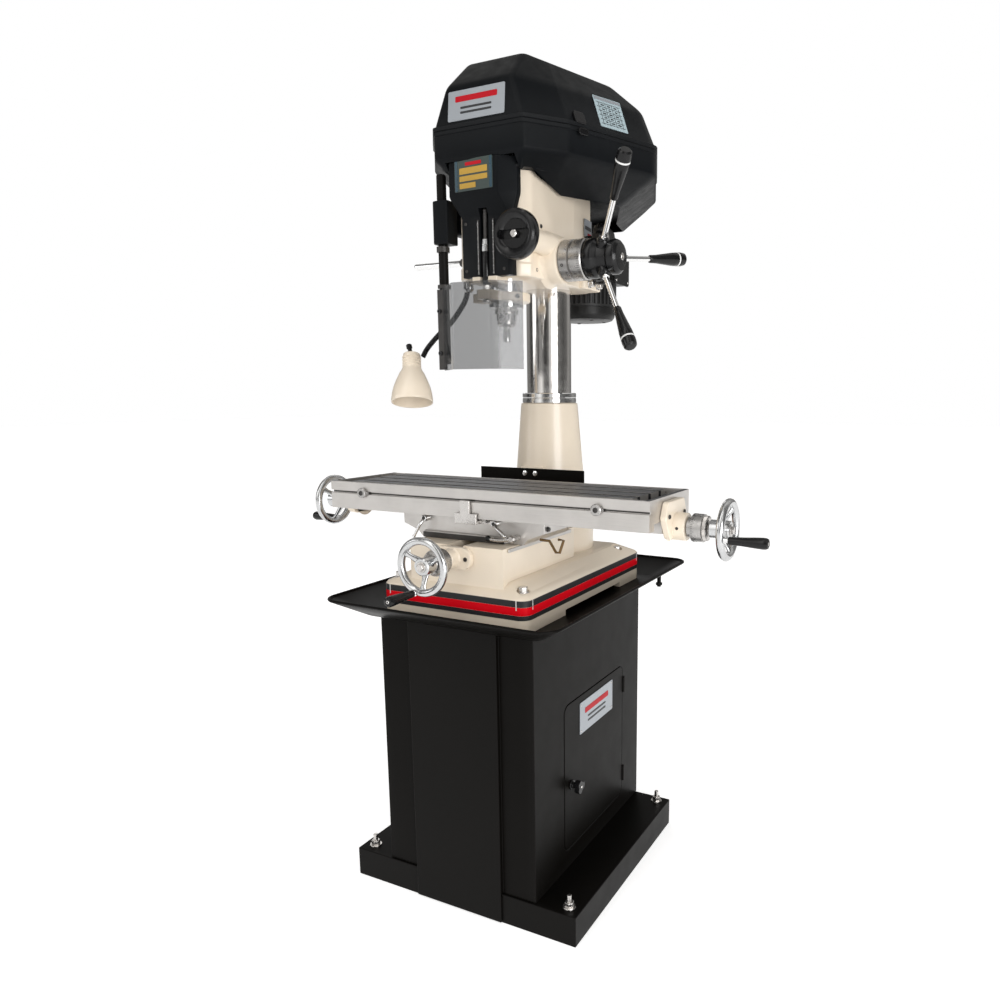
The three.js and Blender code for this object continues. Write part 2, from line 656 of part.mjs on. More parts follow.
function fineFeedWheel() {
  const { x, z, r, front, back } = FINE;
  const p = [[0, front + 6], [24, front + 6], [26, front + 2], [r - 8, front], [r, front + 7]];
  p.push([r, back - 3], [r - 3, back], [0, back]);
  const disc = turned("y", p, x, 0, z, 28);
  const recess = prism("y", rounded(x - 40, x + 40, z - 9, z + 9, 8, 4), front - 2, front + 14);
  const knob = rod("y", front - 2, front + 15, x, z, 8, 16);
  const shaft = rod("y", back - 1, -70, x, z, 8, 16);
  return join(cut(disc, recess), knob, shaft);
}

function elevatingCrank() {
  const shaft = rod("x", -196, -72, CRANK.y, CRANK.z, 9, 16);
  const hub = rod("x", -196, -172, CRANK.y, CRANK.z, 15, 14);
  const [y, z] = [CRANK.y - CRANK.arm * 0.93, CRANK.z - CRANK.arm * 0.37];
  const arm = bar([[-184, CRANK.y, CRANK.z], [-184, y, z]], 8, 1, 4);
  const p = [[0, -176], [9, -176], [6, -190], [5, -194], [8, -334], [7, -340], [0, -340]];
  const handle = turned("x", p, 0, y, z, 16);
  return join(shaft, hub, arm, handle);
}

function shieldPost() {
  const { x, y, r } = POST;
  const post = rod("z", 1275, 1699, x, y, r, 14);
  const clamp = box(x - 16, -98 - GAP, y - 20, y + 22, 1545, 1640);
  return join(post, clamp);
}

function shieldPanel() {
  const t = SHIELD.sheet;
  const { x, y, r } = POST;
  const line = [[x + 6, y - r - 5], [x + 84, y - r - 78], [-2, -196], [58, -196], [112, -148]];
  const inside = line.map(([u, v]) => [u, v + t]).reverse();
  const sheet = prism("z", [...line, ...inside], SHIELD.low, SHIELD.high);
  const strip = box(x - 8, x + 12, y - r - 4, y - r - 0.6, SHIELD.low, SHIELD.high);
  return join(sheet, strip);
}

function lampGooseneck() {
  const neck = [
    [-90, -62, 1452], [-103, -62, 1420], [-140, -62, 1378], [-176, -70, 1346], [-200, -82, 1316],
    [-210, -90, 1294],
  ];
  const arm = bar(neck, 6, 12, 4);
  const seat = rod("z", 1446, 1464.4, -89, -62, 10, 14);
  return join(arm, seat);
}

const LAMP = { top: [-238, -97, 1302], axis: [0.17, -0.25, -1] };

function lampShade() {
  const outer = [[0, -3], [14, -3], [20, 0], [22, 34], [30, 50], [47, 92], [50, 122], [0, 122]];
  const inner = [[0, 6], [17, 6], [19, 34], [27, 51], [44, 93], [47, 123], [0, 123]];
  const shell = turnedAlong(outer, LAMP.top, LAMP.axis, 22);
  return cut(shell, turnedAlong(inner, LAMP.top, LAMP.axis, 22));
}

function lampSwitch() {
  const [x, y, z] = LAMP.top;
  const profile = [[0, 0], [5, 0], [5, 8], [7, 9], [7, 18], [0, 19]];
  return turnedAlong(profile, [x - 4, y, z + 5], [-0.3, 0.1, 1], 12);
}

function tensionKnob(x, y, z) {
  const p = [[0, 0], [8, 0], [8, 30], [30, 31], [35, 36], [35, 52], [31, 56], [0, 57]];
  return turned("x", p, x, y, z, 20);
}

function switchBox() {
  const x = -100 - GAP;
  const body = box(x - 26, x, -74, -6, 1572, 1650);
  return cut(body, rod("x", x - 27, x - 12, -40, 1628, 12.4, 14));
}

function stopButton() {
  const x = -100 - GAP - 16;
  const p = [[0, 0], [8, 0], [8, 17], [17, 18], [17, 24], [12, 28], [0, 29]];
  return turned("x", p.map(([r, h]) => [r, -h]), x, -40, 1628, 14);
}

// ---------- assemble ----------
node("plinth", plinth());
node("cabinet", cabinet());
node("door_panel", doorPanel());
node("door_knob", doorKnob());
node("chip_tray", chipTray());
node("machine_base", machineBase());
node("column_flange", columnFlange());
node("way_guard", wayGuard());
node("column_collar", columnCollar());
node("column", column());
node("column_rack", columnRack());

node("cross_screw_bracket", crossScrewBracket());
node("cross_leadscrew", crossLeadscrew());
node("cross_dial", crossDial());
node("cross_handwheel", handwheel("y", -384, 0, Y_SCREW.z, 0.5, -388, -355));
node("cross_grip", grip("y", [-14, -393.2, Y_SCREW.z - 55], -1));

node("saddle", saddle());
node("table_stop_bracket", tableStopBracket());
node("table_lock_lever_left", lockLever(-118, 922, -136, 880));
node("table_lock_lever_right", lockLever(74, 922, 112, 900));
node("saddle_lock_lever", saddleLockLever());

node("table", table());
node("end_bracket_left", endBracket(-1));
node("end_bracket_right", endBracket(1));
node("table_leadscrew", tableLeadscrew());
node("table_dial", dial("x", [TABLE.x + 410 + 41.2, TABLE.y, X_SCREW.z], TABLE.y, X_SCREW.z, 1));
node("table_handwheel_left", handwheel("x", -460, TABLE.y, X_SCREW.z, 0.4, -470, -402));
node("table_handwheel_right", handwheel("x", 586, TABLE.y, X_SCREW.z, 0.9, 550, 592));
node("table_grip_left", grip("x", [-469.2, TABLE.y + 23, X_SCREW.z - 52], -1));
node("table_grip_right", grip("x", [595.2, TABLE.y - 56, X_SCREW.z - 11], 1));

node("head_casting", headCasting());
node("front_cover", frontCover());
node("quill", quill());
node("depth_stop_arm", depthStopArm());
node("depth_rod", depthRod());
node("spindle", spindle());
node("spindle_pulley", spindlePulley());
node("idler_pulley", idlerPulley());
node("motor", motor());
node("motor_pulley", motorPulley());
node("front_belt", belt([0, SPINDLE.y], 60.4, [IDLER.x, IDLER.y], 46.4, BELT.front));
node("rear_belt", belt([IDLER.x, IDLER.y], 66.4, [0, MOTOR.y], 40.4, BELT.rear));
node("belt_guard_pan", beltGuardPan());
node("belt_guard_lid", beltGuardLid());

node("feed_dial_ring", feedDialRing());
node("feed_hub", feedHub());
for (let k = 0; k < 3; k++) node(`feed_lever_${k + 1}`, feedLever(k));
node("fine_feed_wheel", fineFeedWheel());
node("elevating_crank", elevatingCrank());
node("tension_knob_upper", tensionKnob(94.4, 196, 1590));
node("tension_knob_lower", tensionKnob(95.2, 190, 1512));
node("switch_box", switchBox());
node("stop_button", stopButton());

node("shield_post", shieldPost());
node("shield_panel", shieldPanel());
node("lamp_gooseneck", lampGooseneck());
node("lamp_shade", lampShade());
node("lamp_switch", lampSwitch());

export default group;
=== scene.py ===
"""Looks of a round-column milling machine on its stand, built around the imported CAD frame.

Shapes are written in millimetres in the CAD frame and become metres in make().
"""

from math import acos, atan2, cos, pi, radians, sin, tan

import bmesh
import bpy
from mathutils import Matrix, Vector


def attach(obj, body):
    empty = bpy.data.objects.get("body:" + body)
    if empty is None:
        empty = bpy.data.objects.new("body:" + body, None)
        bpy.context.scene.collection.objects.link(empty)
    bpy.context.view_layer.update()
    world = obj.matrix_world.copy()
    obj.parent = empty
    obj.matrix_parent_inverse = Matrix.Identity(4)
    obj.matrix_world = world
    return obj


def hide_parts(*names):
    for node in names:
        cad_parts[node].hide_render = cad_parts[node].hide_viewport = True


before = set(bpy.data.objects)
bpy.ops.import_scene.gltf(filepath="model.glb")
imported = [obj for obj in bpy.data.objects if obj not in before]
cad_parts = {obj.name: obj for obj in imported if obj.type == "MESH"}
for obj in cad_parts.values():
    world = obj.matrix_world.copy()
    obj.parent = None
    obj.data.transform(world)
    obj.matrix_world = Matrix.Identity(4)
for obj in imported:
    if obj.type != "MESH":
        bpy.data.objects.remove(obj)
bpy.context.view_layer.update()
MM = 0.001

# ---------- materials ----------


def finish_of(name, colour, rough, metal=0.0, tint=0.08, patch=9.0, grain=900.0, bump=0.05,
              stretch=(1, 1, 1), coat=0.0, wear=0.0, spread=0.06, specular=0.5):
    """Procedural finish: blotchy colour, varied roughness, fine bump, and paler worn edges."""
    material = bpy.data.materials.new(name)
    material.use_nodes = True
    nodes, links = material.node_tree.nodes, material.node_tree.links
    shader = nodes["Principled BSDF"]
    place = nodes.new("ShaderNodeTexCoord").outputs["Object"]

    def noise(scale, detail, stretched=False):
        texture = nodes.new("ShaderNodeTexNoise")
        texture.inputs["Scale"].default_value = scale
        texture.inputs["Detail"].default_value = detail
        source = place
        if stretched:
            mapping = nodes.new("ShaderNodeMapping")
            mapping.inputs["Scale"].default_value = stretch
            links.new(place, mapping.inputs["Vector"])
            source = mapping.outputs["Vector"]
        links.new(source, texture.inputs["Vector"])
        return texture.outputs["Fac"]

    def ranged(value, low, high, start=0.3, end=0.7):
        node = nodes.new("ShaderNodeMapRange")
        for socket, number in zip(node.inputs[1:5], (start, end, low, high)):
            socket.default_value = number
        links.new(value, node.inputs[0])
        return node.outputs[0]

    def mixed(factor, first, second):
        node = nodes.new("ShaderNodeMix")
        node.data_type = "RGBA"
        links.new(factor, node.inputs[0])
        for socket, value in ((node.inputs[6], first), (node.inputs[7], second)):
            if isinstance(value, tuple):
                socket.default_value = value
            else:
                links.new(value, socket)
        return node.outputs[2]

    dark = (*[c * (1 - tint) for c in colour], 1)
    light = (*[min(1, c * (1 + tint)) for c in colour], 1)
    fine = noise(grain, 3, True)
    base = mixed(ranged(noise(patch, 4), 0, 1), dark, light)
    base = mixed(ranged(fine, 0, 0.5), base, light)
    if wear:
        edge = ranged(nodes.new("ShaderNodeNewGeometry").outputs["Pointiness"], 0, wear, 0.53, 0.62)
        worn = (*[0.5 * c + 0.16 for c in colour], 1)
        base = mixed(edge, base, worn)
    links.new(base, shader.inputs["Base Color"])
    links.new(ranged(noise(patch * 5, 3), rough - spread, rough + spread), shader.inputs["Roughness"])
    shader.inputs["Metallic"].default_value = metal
    shader.inputs["Coat Weight"].default_value = coat
    shader.inputs["Coat Roughness"].default_value = 0.12
    shader.inputs["Specular IOR Level"].default_value = specular
    relief = nodes.new("ShaderNodeBump")
    relief.inputs["Strength"].default_value = bump
    relief.inputs["Distance"].default_value = 0.0006
    links.new(fine, relief.inputs["Height"])
    links.new(relief.outputs["Normal"], shader.inputs["Normal"])
    return material


ALONG_X = (0.02, 1, 1)
ROUND_Z = (0.02, 0.02, 1)
# Each look is a material and the slot that the record gives it.
LOOKS = {
    "stand": (finish_of("stand_enamel", (0.0034, 0.0029, 0.0024), 0.38, tint=0.12, patch=4, bump=0.06,
                        grain=500, wear=0.08, spread=0.03, specular=0.06), "stand_black"),
    "cream": (finish_of("cream_enamel", (0.80, 0.70, 0.57), 0.3, tint=0.03, patch=14, bump=0.06,
                        grain=420, coat=0.2, spread=0.015), "cream"),
    "steel": (finish_of("ground_steel", (0.55, 0.53, 0.51), 0.34, 0.85, 0.12, 12, 1400, 0.16,
                        ALONG_X), "ground_steel"),
    # Table top: a darker copy of the ground steel, painted shade on the top face.
    "top": (finish_of("table_top_painted_shade", (0.10, 0.101, 0.107), 0.42, 0.4, 0.15, 10, 1500, 0.2,
                      ALONG_X, specular=0.15), "ground_steel"),
    # Slot lining: near-black iron, painted shade inside the T-slots.
    "slot": (finish_of("slot_painted_shade", (0.035, 0.035, 0.038), 0.5, 0.6, 0.2, 20, 1500, 0.2, ALONG_X),
             "dark_iron"),
    "turned": (finish_of("turned_steel", (0.60, 0.58, 0.56), 0.26, 1.0, 0.08, 15, 1600, 0.1),
               "ground_steel"),
    "column": (finish_of("column_steel", (0.72, 0.70, 0.68), 0.13, 1.0, 0.05, 8, 1800, 0.05,
                         ROUND_Z, spread=0.03), "chrome"),
    "chrome": (finish_of("chrome_plate", (0.80, 0.80, 0.80), 0.09, 1.0, 0.03, 20, 1500, 0.02,
                         spread=0.03), "chrome"),
    "alloy": (finish_of("polished_alloy", (0.56, 0.565, 0.57), 0.2, 1.0, 0.08, 30, 900, 0.12,
                        spread=0.08), "alloy"),
    "dial": (finish_of("dial_steel", (0.42, 0.41, 0.40), 0.3, 0.9, 0.12, 30, 1200, 0.1), "alloy"),
    "iron": (finish_of("dark_iron", (0.06, 0.057, 0.055), 0.42, 0.7, 0.25, 25, 1000, 0.2),
             "dark_iron"),
    "bronze": (finish_of("bronze_bracket", (0.16, 0.10, 0.045), 0.4, 0.8, 0.25, 25, 900, 0.15),
               "dark_iron"),
    "guard": (finish_of("guard_plastic", (0.0042, 0.0050, 0.0060), 0.42, tint=0.25, patch=7, bump=0.3,
                        grain=1300, wear=0.08, specular=0.08), "guard_black"),
    "grip": (finish_of("phenolic_grip", (0.006, 0.006, 0.0065), 0.22, tint=0.25, patch=25, bump=0.03,
                       specular=0.3), "grip_black"),
    "rubber": (finish_of("belt_rubber", (0.02, 0.02, 0.02), 0.7, tint=0.3, bump=0.5, grain=1500),
               "rubber_black"),
    "motor": (finish_of("motor_enamel", (0.009, 0.009, 0.009), 0.38, tint=0.2, bump=0.15, grain=600,
                        wear=0.15, specular=0.2), "motor_black"),
    "red": (finish_of("red_stripe", (0.80, 0.003, 0.012), 0.35, tint=0.05, bump=0.03, specular=0.2),
            "stop_red"),
    "bar": (finish_of("printed_red", (0.42, 0.004, 0.012), 0.45, tint=0.05, bump=0.02, specular=0.2),
            "stop_red"),
    "white": (finish_of("printed_white", (0.75, 0.75, 0.74), 0.4, tint=0.03, bump=0.03), "cream"),
    "plate": (finish_of("brushed_plate", (0.36, 0.385, 0.415), 0.34, 0.5, 0.05, 12, 1300, 0.12,
                        ALONG_X), "alloy"),
    "ink": (finish_of("dark_ink", (0.02, 0.021, 0.023), 0.45, tint=0.1, bump=0.03), "grip_black"),
    "info": (finish_of("info_plate", (0.03, 0.045, 0.04), 0.35, tint=0.15, bump=0.05),
             "guard_black"),
    "amber": (finish_of("printed_amber", (0.42, 0.25, 0.03), 0.45, tint=0.1, bump=0.03), "cream"),
    "chart": (finish_of("chart_plate", (0.42, 0.53, 0.57), 0.35, 0.2, 0.08, bump=0.05), "alloy"),
    "blue": (finish_of("bluish_edge", (0.02, 0.05, 0.07), 0.25, tint=0.2, bump=0.03),
             "guard_black"),
    "bulb": (finish_of("bulb_glass", (0.85, 0.84, 0.80), 0.2, tint=0.02, bump=0.01, coat=0.3),
             "cream"),
}


def clear_sheet():
    """Clear plastic with faint haze, its opacity set on the shader."""
    material = finish_of("clear_sheet", (0.05, 0.052, 0.055), 0.07, tint=0.04, bump=0.01)
    shader = material.node_tree.nodes["Principled BSDF"]
    shader.inputs["Alpha"].default_value = 0.48
    shader.inputs["IOR"].default_value = 1.58
    return material


LOOKS["clear"] = (clear_sheet(), "clear")

# ---------- shapes: (points, faces) in millimetres ----------
PLANES = {"x": (1, 2, 0), "y": (0, 2, 1), "z": (0, 1, 2)}
AXES = {"x": (1, 0, 0), "y": (0, 1, 0), "z": (0, 0, 1)}
UP, DOWN = (0, 0, 1), (0, 0, -1)
RIGHT, LEFT = (1, 0, 0), (-1, 0, 0)
FRONT, BACK = (0, -1, 0), (0, 1, 0)
# A point on the line of each turned part, and the bore that takes a screw with its running gap.
COLUMN, SPINDLE, DEPTH_ROD = (0, 165, 0), (0, -38, 0), (0, -120, 0)
CROSS_SCREW, FEED, FINE_FEED = (0, 0, 849), (0, 6, 1508), (108, 0, 1541)
TABLE_SCREW_Z = 937
SCREW_BORE = 10.4


def merge(*shapes):
    """Several closed shapes as one."""
    points, faces = [], []
    for more_points, more_faces in shapes:
        start = len(points)
        points += [Vector(p) for p in more_points]
        faces += [[i + start for i in face] for face in more_faces]
    return points, faces


def skin(rows, capped=True, ring=False):
    """Joins rows of points of equal length into a closed surface; a one-point row is a pole."""
    points, index = [], []
    size = max(len(row) for row in rows)
    for row in rows:
        start = len(points)
        points += [Vector(p) for p in row]
        index.append([start] * size if len(row) == 1 else list(range(start, start + size)))
    faces = []
    pairs = list(zip(index, index[1:])) + ([(index[-1], index[0])] if ring else [])
    for low, high in pairs:
        for i in range(size):
            j = (i + 1) % size
            face = list(dict.fromkeys((low[i], low[j], high[j], high[i])))
            if len(face) > 2:
                faces.append(face)
    if capped and not ring:
        faces += [row for row in (index[0], index[-1]) if len(set(row)) > 2]
    return points, faces


def lathe(profile, origin, direction, seg=64):
    """(radius, height) pairs turned about a line. Ends with a radius are capped flat."""
    w = Vector(direction).normalized()
    u = w.orthogonal().normalized()
    v = w.cross(u)
    ring = profile[0] == profile[-1]
    rows = []
    for r, h in profile[:-1] if ring else profile:
        centre = Vector(origin) + w * h
        turn = [2 * pi * i / seg for i in range(seg)]
        rows.append([centre] if r < 1e-6 else [centre + (u * cos(a) + v * sin(a)) * r for a in turn])
    return skin(rows, ring=ring)


def bored(r, outside):
    """Closed profile of a turned part with a straight bore of radius r through it."""
    return [(r, outside[0][1]), *outside, (r, outside[-1][1]), (r, outside[0][1])]


def on_plane(axis, outline, at):
    """Outline lifted into space, square to an axis."""
    i, j, k = PLANES[axis]
    row = []
    for p, q in outline:
        point = [0.0, 0.0, 0.0]
        point[i], point[j], point[k] = p, q, at
        row.append(point)
    return row


def prism(outline, axis, a, b):
    """Solid of one outline between two places along an axis."""
    return skin([on_plane(axis, outline, a), on_plane(axis, outline, b)])


def loft(levels, ring=False, axis="z"):
    """Solid through (place, outline) levels; ring joins the last level to the first."""
    return skin([on_plane(axis, outline, at) for at, outline in levels], ring=ring)


def band(outer, inner, axis, a, b):
    """Flat ring between two outlines of the same count."""
    return loft([(a, outer), (b, outer), (b, inner), (a, inner)], True, axis)


def slab(x0, x1, y0, y1, z0, z1):
    return prism([(x0, y0), (x1, y0), (x1, y1), (x0, y1)], "z", z0, z1)


def fillet(points, r, seg=6):
    """Outline with each corner rounded; r is one radius or one for each corner."""
    out = []
    n = len(points)
    radii = r if isinstance(r, (list, tuple)) else [r] * n
    for i in range(n):
        before, corner, after = (Vector(points[(i + k) % n]) for k in (-1, 0, 1))
        a, b = before - corner, after - corner
        half = a.angle(b) / 2
        reach = min(radii[i] / tan(half), a.length * 0.48, b.length * 0.48)
        inner = reach * tan(half)
        centre = corner + (a.normalized() + b.normalized()).normalized() * (inner / sin(half))
        start, end = (corner + side.normalized() * reach - centre for side in (a, b))
        out += [tuple(centre + start.lerp(end, k / seg).normalized() * inner) for k in range(seg + 1)]
    return out


def rounded(x0, x1, y0, y1, r, seg=6):
    return fillet([(x0, y0), (x1, y0), (x1, y1), (x0, y1)], r, seg)


def lobed(cx, cy, r, depth, lobes, seg=120):
    """Circle with shallow flutes."""
    out = []
    for i in range(seg):
        a = 2 * pi * i / seg
        reach = r - depth * (0.5 - 0.5 * cos(lobes * a)) ** 2
        out.append((cx + reach * cos(a), cy + reach * sin(a)))
    return out


def smooth_line(points, steps=6):
    """Catmull-Rom line through points."""
    p = [Vector(q) for q in points]
    p = [2 * p[0] - p[1]] + p + [2 * p[-1] - p[-2]]
    out = []
    for k in range(1, len(p) - 2):
        a, b, c, d = p[k - 1:k + 3]
        for s in range(steps):
            t = s / steps
            square = (2 * a - 5 * b + 4 * c - d) * t * t
            cube = (3 * b - a - 3 * c + d) * t ** 3
            out.append(0.5 * (2 * b + (c - a) * t + square + cube))
    return out + [p[-2]]


def tube(line, radius, sides=20, ring=False):
    """Bar along a line; radius is a number or a function of the share of the way along."""
    n = len(line)
    side, rows = None, []
    for k, at in enumerate(line):
        ahead = line[(k + 1) % n if ring else min(k + 1, n - 1)] - line[k - 1 if ring else max(k - 1, 0)]
        ahead.normalize()
        side = ahead.orthogonal() if side is None else side - ahead * side.dot(ahead)
        side.normalize()
        up = ahead.cross(side)
        r = radius(k / (n - 1)) if callable(radius) else radius
        turn = [2 * pi * i / sides for i in range(sides)]
        rows.append([at + (side * cos(a) + up * sin(a)) * r for a in turn])
    return skin(rows, ring=ring)


def rod(axis, a, b, c1, c2, r, chamfer=0.8, seg=48):
    """Round bar with chamfered ends; c1 and c2 are the other two coordinates in order."""
    i, j, _ = PLANES[axis]
    origin = [0.0, 0.0, 0.0]
    origin[i], origin[j] = c1, c2
    profile = [(0, a), (r - chamfer, a), (r, a + chamfer), (r, b - chamfer), (r - chamfer, b), (0, b)]
    return lathe(profile, origin, AXES[axis], seg)


def hexagon(origin, direction, across, height, base=0.0):
    """Chamfered hexagon head or nut on a washer face."""
    r = across / 2 / cos(pi / 6)
    profile = [(0, base), (r, base), (r, base + height - 1), (r * 0.86, base + height), (0, base + height)]
    return lathe(profile, origin, direction, 6)


def washer(origin, direction, r, thick):
    return lathe([(0, 0), (r, 0), (r, thick * 0.7), (r - 0.6, thick), (0, thick)], origin, direction, 36)


def bolt(origin, direction, across=16, height=10, thick=2.5):
    return merge(washer(origin, direction, across * 0.72, thick),
                 hexagon(origin, direction, across, height, thick))


def cap_screw(origin, direction, r=5.0, height=5.0):
    """Round head with a driving recess."""
    profile = [(0, height * 0.35), (r * 0.5, height * 0.35), (r * 0.52, height), (r - 0.6, height),
               (r, height - 0.7), (r, 0), (0, 0)]
    return lathe(profile, origin, direction, 30)


def plate(centre, right, up, w, h, thick, lift=0.0, r=2.0):
    """Thin rounded plate on a face; right x up points out of the face."""
    right, up = Vector(right).normalized(), Vector(up).normalized()
    out = right.cross(up)
    rows = []
    for t in (lift, lift + thick):
        rows.append([Vector(centre) + right * p + up * q + out * t for p,
                     q in rounded(-w / 2, w / 2, -h / 2, h / 2, min(r, h * 0.3, w * 0.3), 3)])
    return skin(rows)


# ---------- pieces ----------
def mesh_of(name, shape):
    mesh = bpy.data.meshes.new(name)
    bm = bmesh.new()
    corners = [bm.verts.new(Vector(p) * MM) for p in shape[0]]
    for face in shape[1]:
        bm.faces.new([corners[i] for i in face])
    bmesh.ops.recalc_face_normals(bm, faces=bm.faces)
    bm.to_mesh(mesh)
    bm.free()
    obj = bpy.data.objects.new(name, mesh)
    bpy.context.scene.collection.objects.link(obj)
    return obj


def apply_modifiers(obj):
    graph = bpy.context.evaluated_depsgraph_get()
    final = bpy.data.meshes.new_from_object(obj.evaluated_get(graph))
    obj.modifiers.clear()
    obj.data = final


def carve(obj, *cutters):
    """Takes each cutter shape out of the piece."""
    for k, shape in enumerate(cutters):
        tool = mesh_of(f"cutter_{k}", shape)
        step = obj.modifiers.new("carve", "BOOLEAN")
        step.operation, step.solver, step.object = "DIFFERENCE", "EXACT", tool
        apply_modifiers(obj)
        bpy.data.objects.remove(tool)


def dress(obj, look, body, stands_for=(), bevel=0.0, angle=32):
    """Finish, edge rounding and smooth shading; then it rides on its body."""
    material, slot = LOOKS[look]
    obj.data.materials.clear()
    obj.data.materials.append(material)
    for polygon in obj.data.polygons:
        polygon.material_index = 0
        polygon.use_smooth = True
    obj.data.set_sharp_from_angle(angle=radians(angle))
    if bevel:
        step = obj.modifiers.new("round", "BEVEL")
        step.width, step.segments, step.limit_method = bevel * MM, 3, "ANGLE"
        step.angle_limit, step.use_clamp_overlap = radians(angle), True
        step.harden_normals = True
    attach(obj, body)
    if stands_for:
        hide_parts(*stands_for)
    return obj


def make(name, shape, look, body, stands_for=(), bevel=0.0, angle=32, cutters=()):
    """One piece from a shape, or from a list of shapes taken as one."""
    obj = mesh_of(name, merge(*shape) if isinstance(shape, list) else shape)
    carve(obj, *cutters)
    return dress(obj, look, body, stands_for, bevel, angle)


def from_cad(node, look, body, bevel=1.5, angle=32):
    """A CAD solid's own surface with its flat faces whole and its edges rounded."""
    obj = bpy.data.objects.new(node + "_skin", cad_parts[node].data.copy())
    bpy.context.scene.collection.objects.link(obj)
    bm = bmesh.new()
    bm.from_mesh(obj.data)
    bmesh.ops.remove_doubles(bm, verts=bm.verts, dist=0.02 * MM)
    bmesh.ops.dissolve_limit(bm, angle_limit=radians(0.5), verts=bm.verts, edges=bm.edges)
    bm.to_mesh(obj.data)
    bm.free()
    for name in ("custom_normal", "sharp_edge", "sharp_face"):
        attribute = obj.data.attributes.get(name)
        if attribute:
            obj.data.attributes.remove(attribute)
    return dress(obj, look, body, (node,), bevel, angle)


# ---------- stand ----------
def stand():
    from_cad("plinth", "stand", "stand", 2)
    from_cad("cabinet", "stand", "stand", 2)
    from_cad("door_panel", "stand", "door", 1.2)
    from_cad("chip_tray", "stand", "stand", 1)
    rim = [Vector((x, y, 740)) for x, y in rounded(-302, 302, -374, 418, 41, 8)]
    make("tray_rim", tube(rim, 3.4, 14, True), "stand", "stand")
    make("tray_drain_collar", lathe(bored(5.7, [(9, 0), (9, 6)]), (252, 330, 682), UP), "stand", "stand")
    anchors, washers = [], []
    for x, y in ((-279, -260), (279, -260), (-279, 266), (279, 266)):
        washers.append(washer((x, y, 72), UP, 15, 3))
        anchors.append(hexagon((x, y, 75), UP, 19, 11))
        anchors.append(rod("z", 74, 102, x, y, 5.6, 1.2, 24))
    make("anchor_washers", washers, "turned", "stand")
    make("anchor_nuts", anchors, "turned", "stand", bevel=0.5)
    face = 207.6
    make("door_plate", plate((face, 24, 430), BACK, UP, 186, 80, 1.2, 0.1, 3), "plate", "door", bevel=0.3)
    make("door_plate_bar", plate((face, 24, 443), BACK, UP, 132, 14, 0.5, 1.3), "bar", "door")
    lines = [plate((face, 24, z), BACK, UP, 100, 5, 0.5, 1.3) for z in (424, 412)]
    make("door_plate_lines", lines, "ink", "door")
    rivets = [lathe([(2.6, 0), (2.2, 1.2), (0, 1.7)], (face + 1.2, 24 + a, 430 + b), RIGHT, 20)
              for a in (-87, 87) for b in (-33, 33)]
    make("door_plate_rivets", rivets, "turned", "door")
    stem = lathe([(0, 0), (12, 0), (12, 3), (7, 5), (6, 12), (8, 15), (0, 15)], (208, -112, 281), RIGHT)
    head = prism(lobed(-112, 281, 17, 5, 3), "x", 222, 235)
    make("door_latch_knob", merge(stem, head), "grip", "latch", ("door_knob",), 1.8)
    make("door_latch_screw", cap_screw((235, -112, 281), RIGHT, 3.5, 1.2), "turned", "latch")
    hinges = [rod("z", z - 22, z + 22, 208.5, 189.5, 3.6, 0.6, 24) for z in (176, 432)]
    make("door_hinge_barrels", hinges, "stand", "stand")


# ---------- base and column ----------
def base():
    from_cad("machine_base", "cream", "stand", 3)
    for name, low, high, look in (("base_stripe_upper", 759, 773, "ink"),
                                  ("base_stripe_red", 740.5, 758.5, "red"),
                                  ("base_stripe_lower", 730, 740, "ink")):
        outer, inner = (rounded(-195 - g, 195 + g, -289 - g, 324 + g, 24 + g, 10) for g in (0.8, 0.1))
        make(name, band(outer, inner, "z", low, high), look, "stand")
    # White lines down the stripes where each rounded corner begins are painted highlights of the corners
    # catching the light.
    corner_highlights = [slab(x - 1.2, x + 1.2, -290.2, -289.8, 752, 773) for x in (-170, 170)]
    corner_highlights += [slab(195.8, 196.2, y - 1.2, y + 1.2, 752, 773) for y in (-264, 299)]
    make("base_stripe_corner_highlights", corner_highlights, "white", "stand")
    corners = ((-168, -256), (168, -256), (-158, 250), (158, 250))
    bolts = [bolt((x, y, 784), UP, 17, 11) for x, y in corners]
    make("base_bolts", bolts, "turned", "stand", bevel=0.5)
    profile = [(0, 876.4), (110, 876.4), (112, 878.5), (112, 890), (109.5, 892.4), (103, 896), (99, 902),
               (97, 910), (74.5, 1172), (73.5, 1180), (72, 1181.6), (0, 1181.6)]
    make("cone", lathe(profile, COLUMN, UP, 128), "cream", "stand", ("column_flange",))
    make("cone_boss", slab(-34, 34, 68.8, 110, 990, 1022), "cream", "stand", bevel=3)
    flange = [bolt((105 * cos(a), 165 + 105 * sin(a), 892), UP, 9, 7, 1.5)
              for a in (radians(45 + 90 * k) for k in range(4))]
    make("cone_bolts", flange, "iron", "stand")
    from_cad("way_guard", "stand", "stand", 0.8)
    screws = [lathe([(7, 0), (6.4, 2.4), (4, 3.4), (0, 3.8)], (x, 64, 1006), FRONT, 32) for x in (-16, 14)]
    make("way_guard_screws", screws, "chrome", "stand")
    z = 1182
    collar = bored(57.9, [(68.5, z), (70, z + 1.5), (70, z + 11), (69.2, z + 12), (69.2, z + 14),
                          (70, z + 15), (70, z + 24), (68, z + 26)])
    make("collar", lathe(collar, COLUMN, UP, 128), "chrome", "stand", ("column_collar",))
    tube_wall = bored(45.5, [(57.5, 1192), (57.5, 1688), (56, 1690)])
    make("column_tube", lathe(tube_wall, COLUMN, UP, 160), "column", "stand", ("column",))
    from_cad("column_rack", "turned", "rack", 0.6)
    rails = [slab(x - 1.5, x + 1.5, -250, 40, 866, 874) for x in (-128, 128)]
    make("way_rails", rails, "steel", "stand", bevel=0.8)


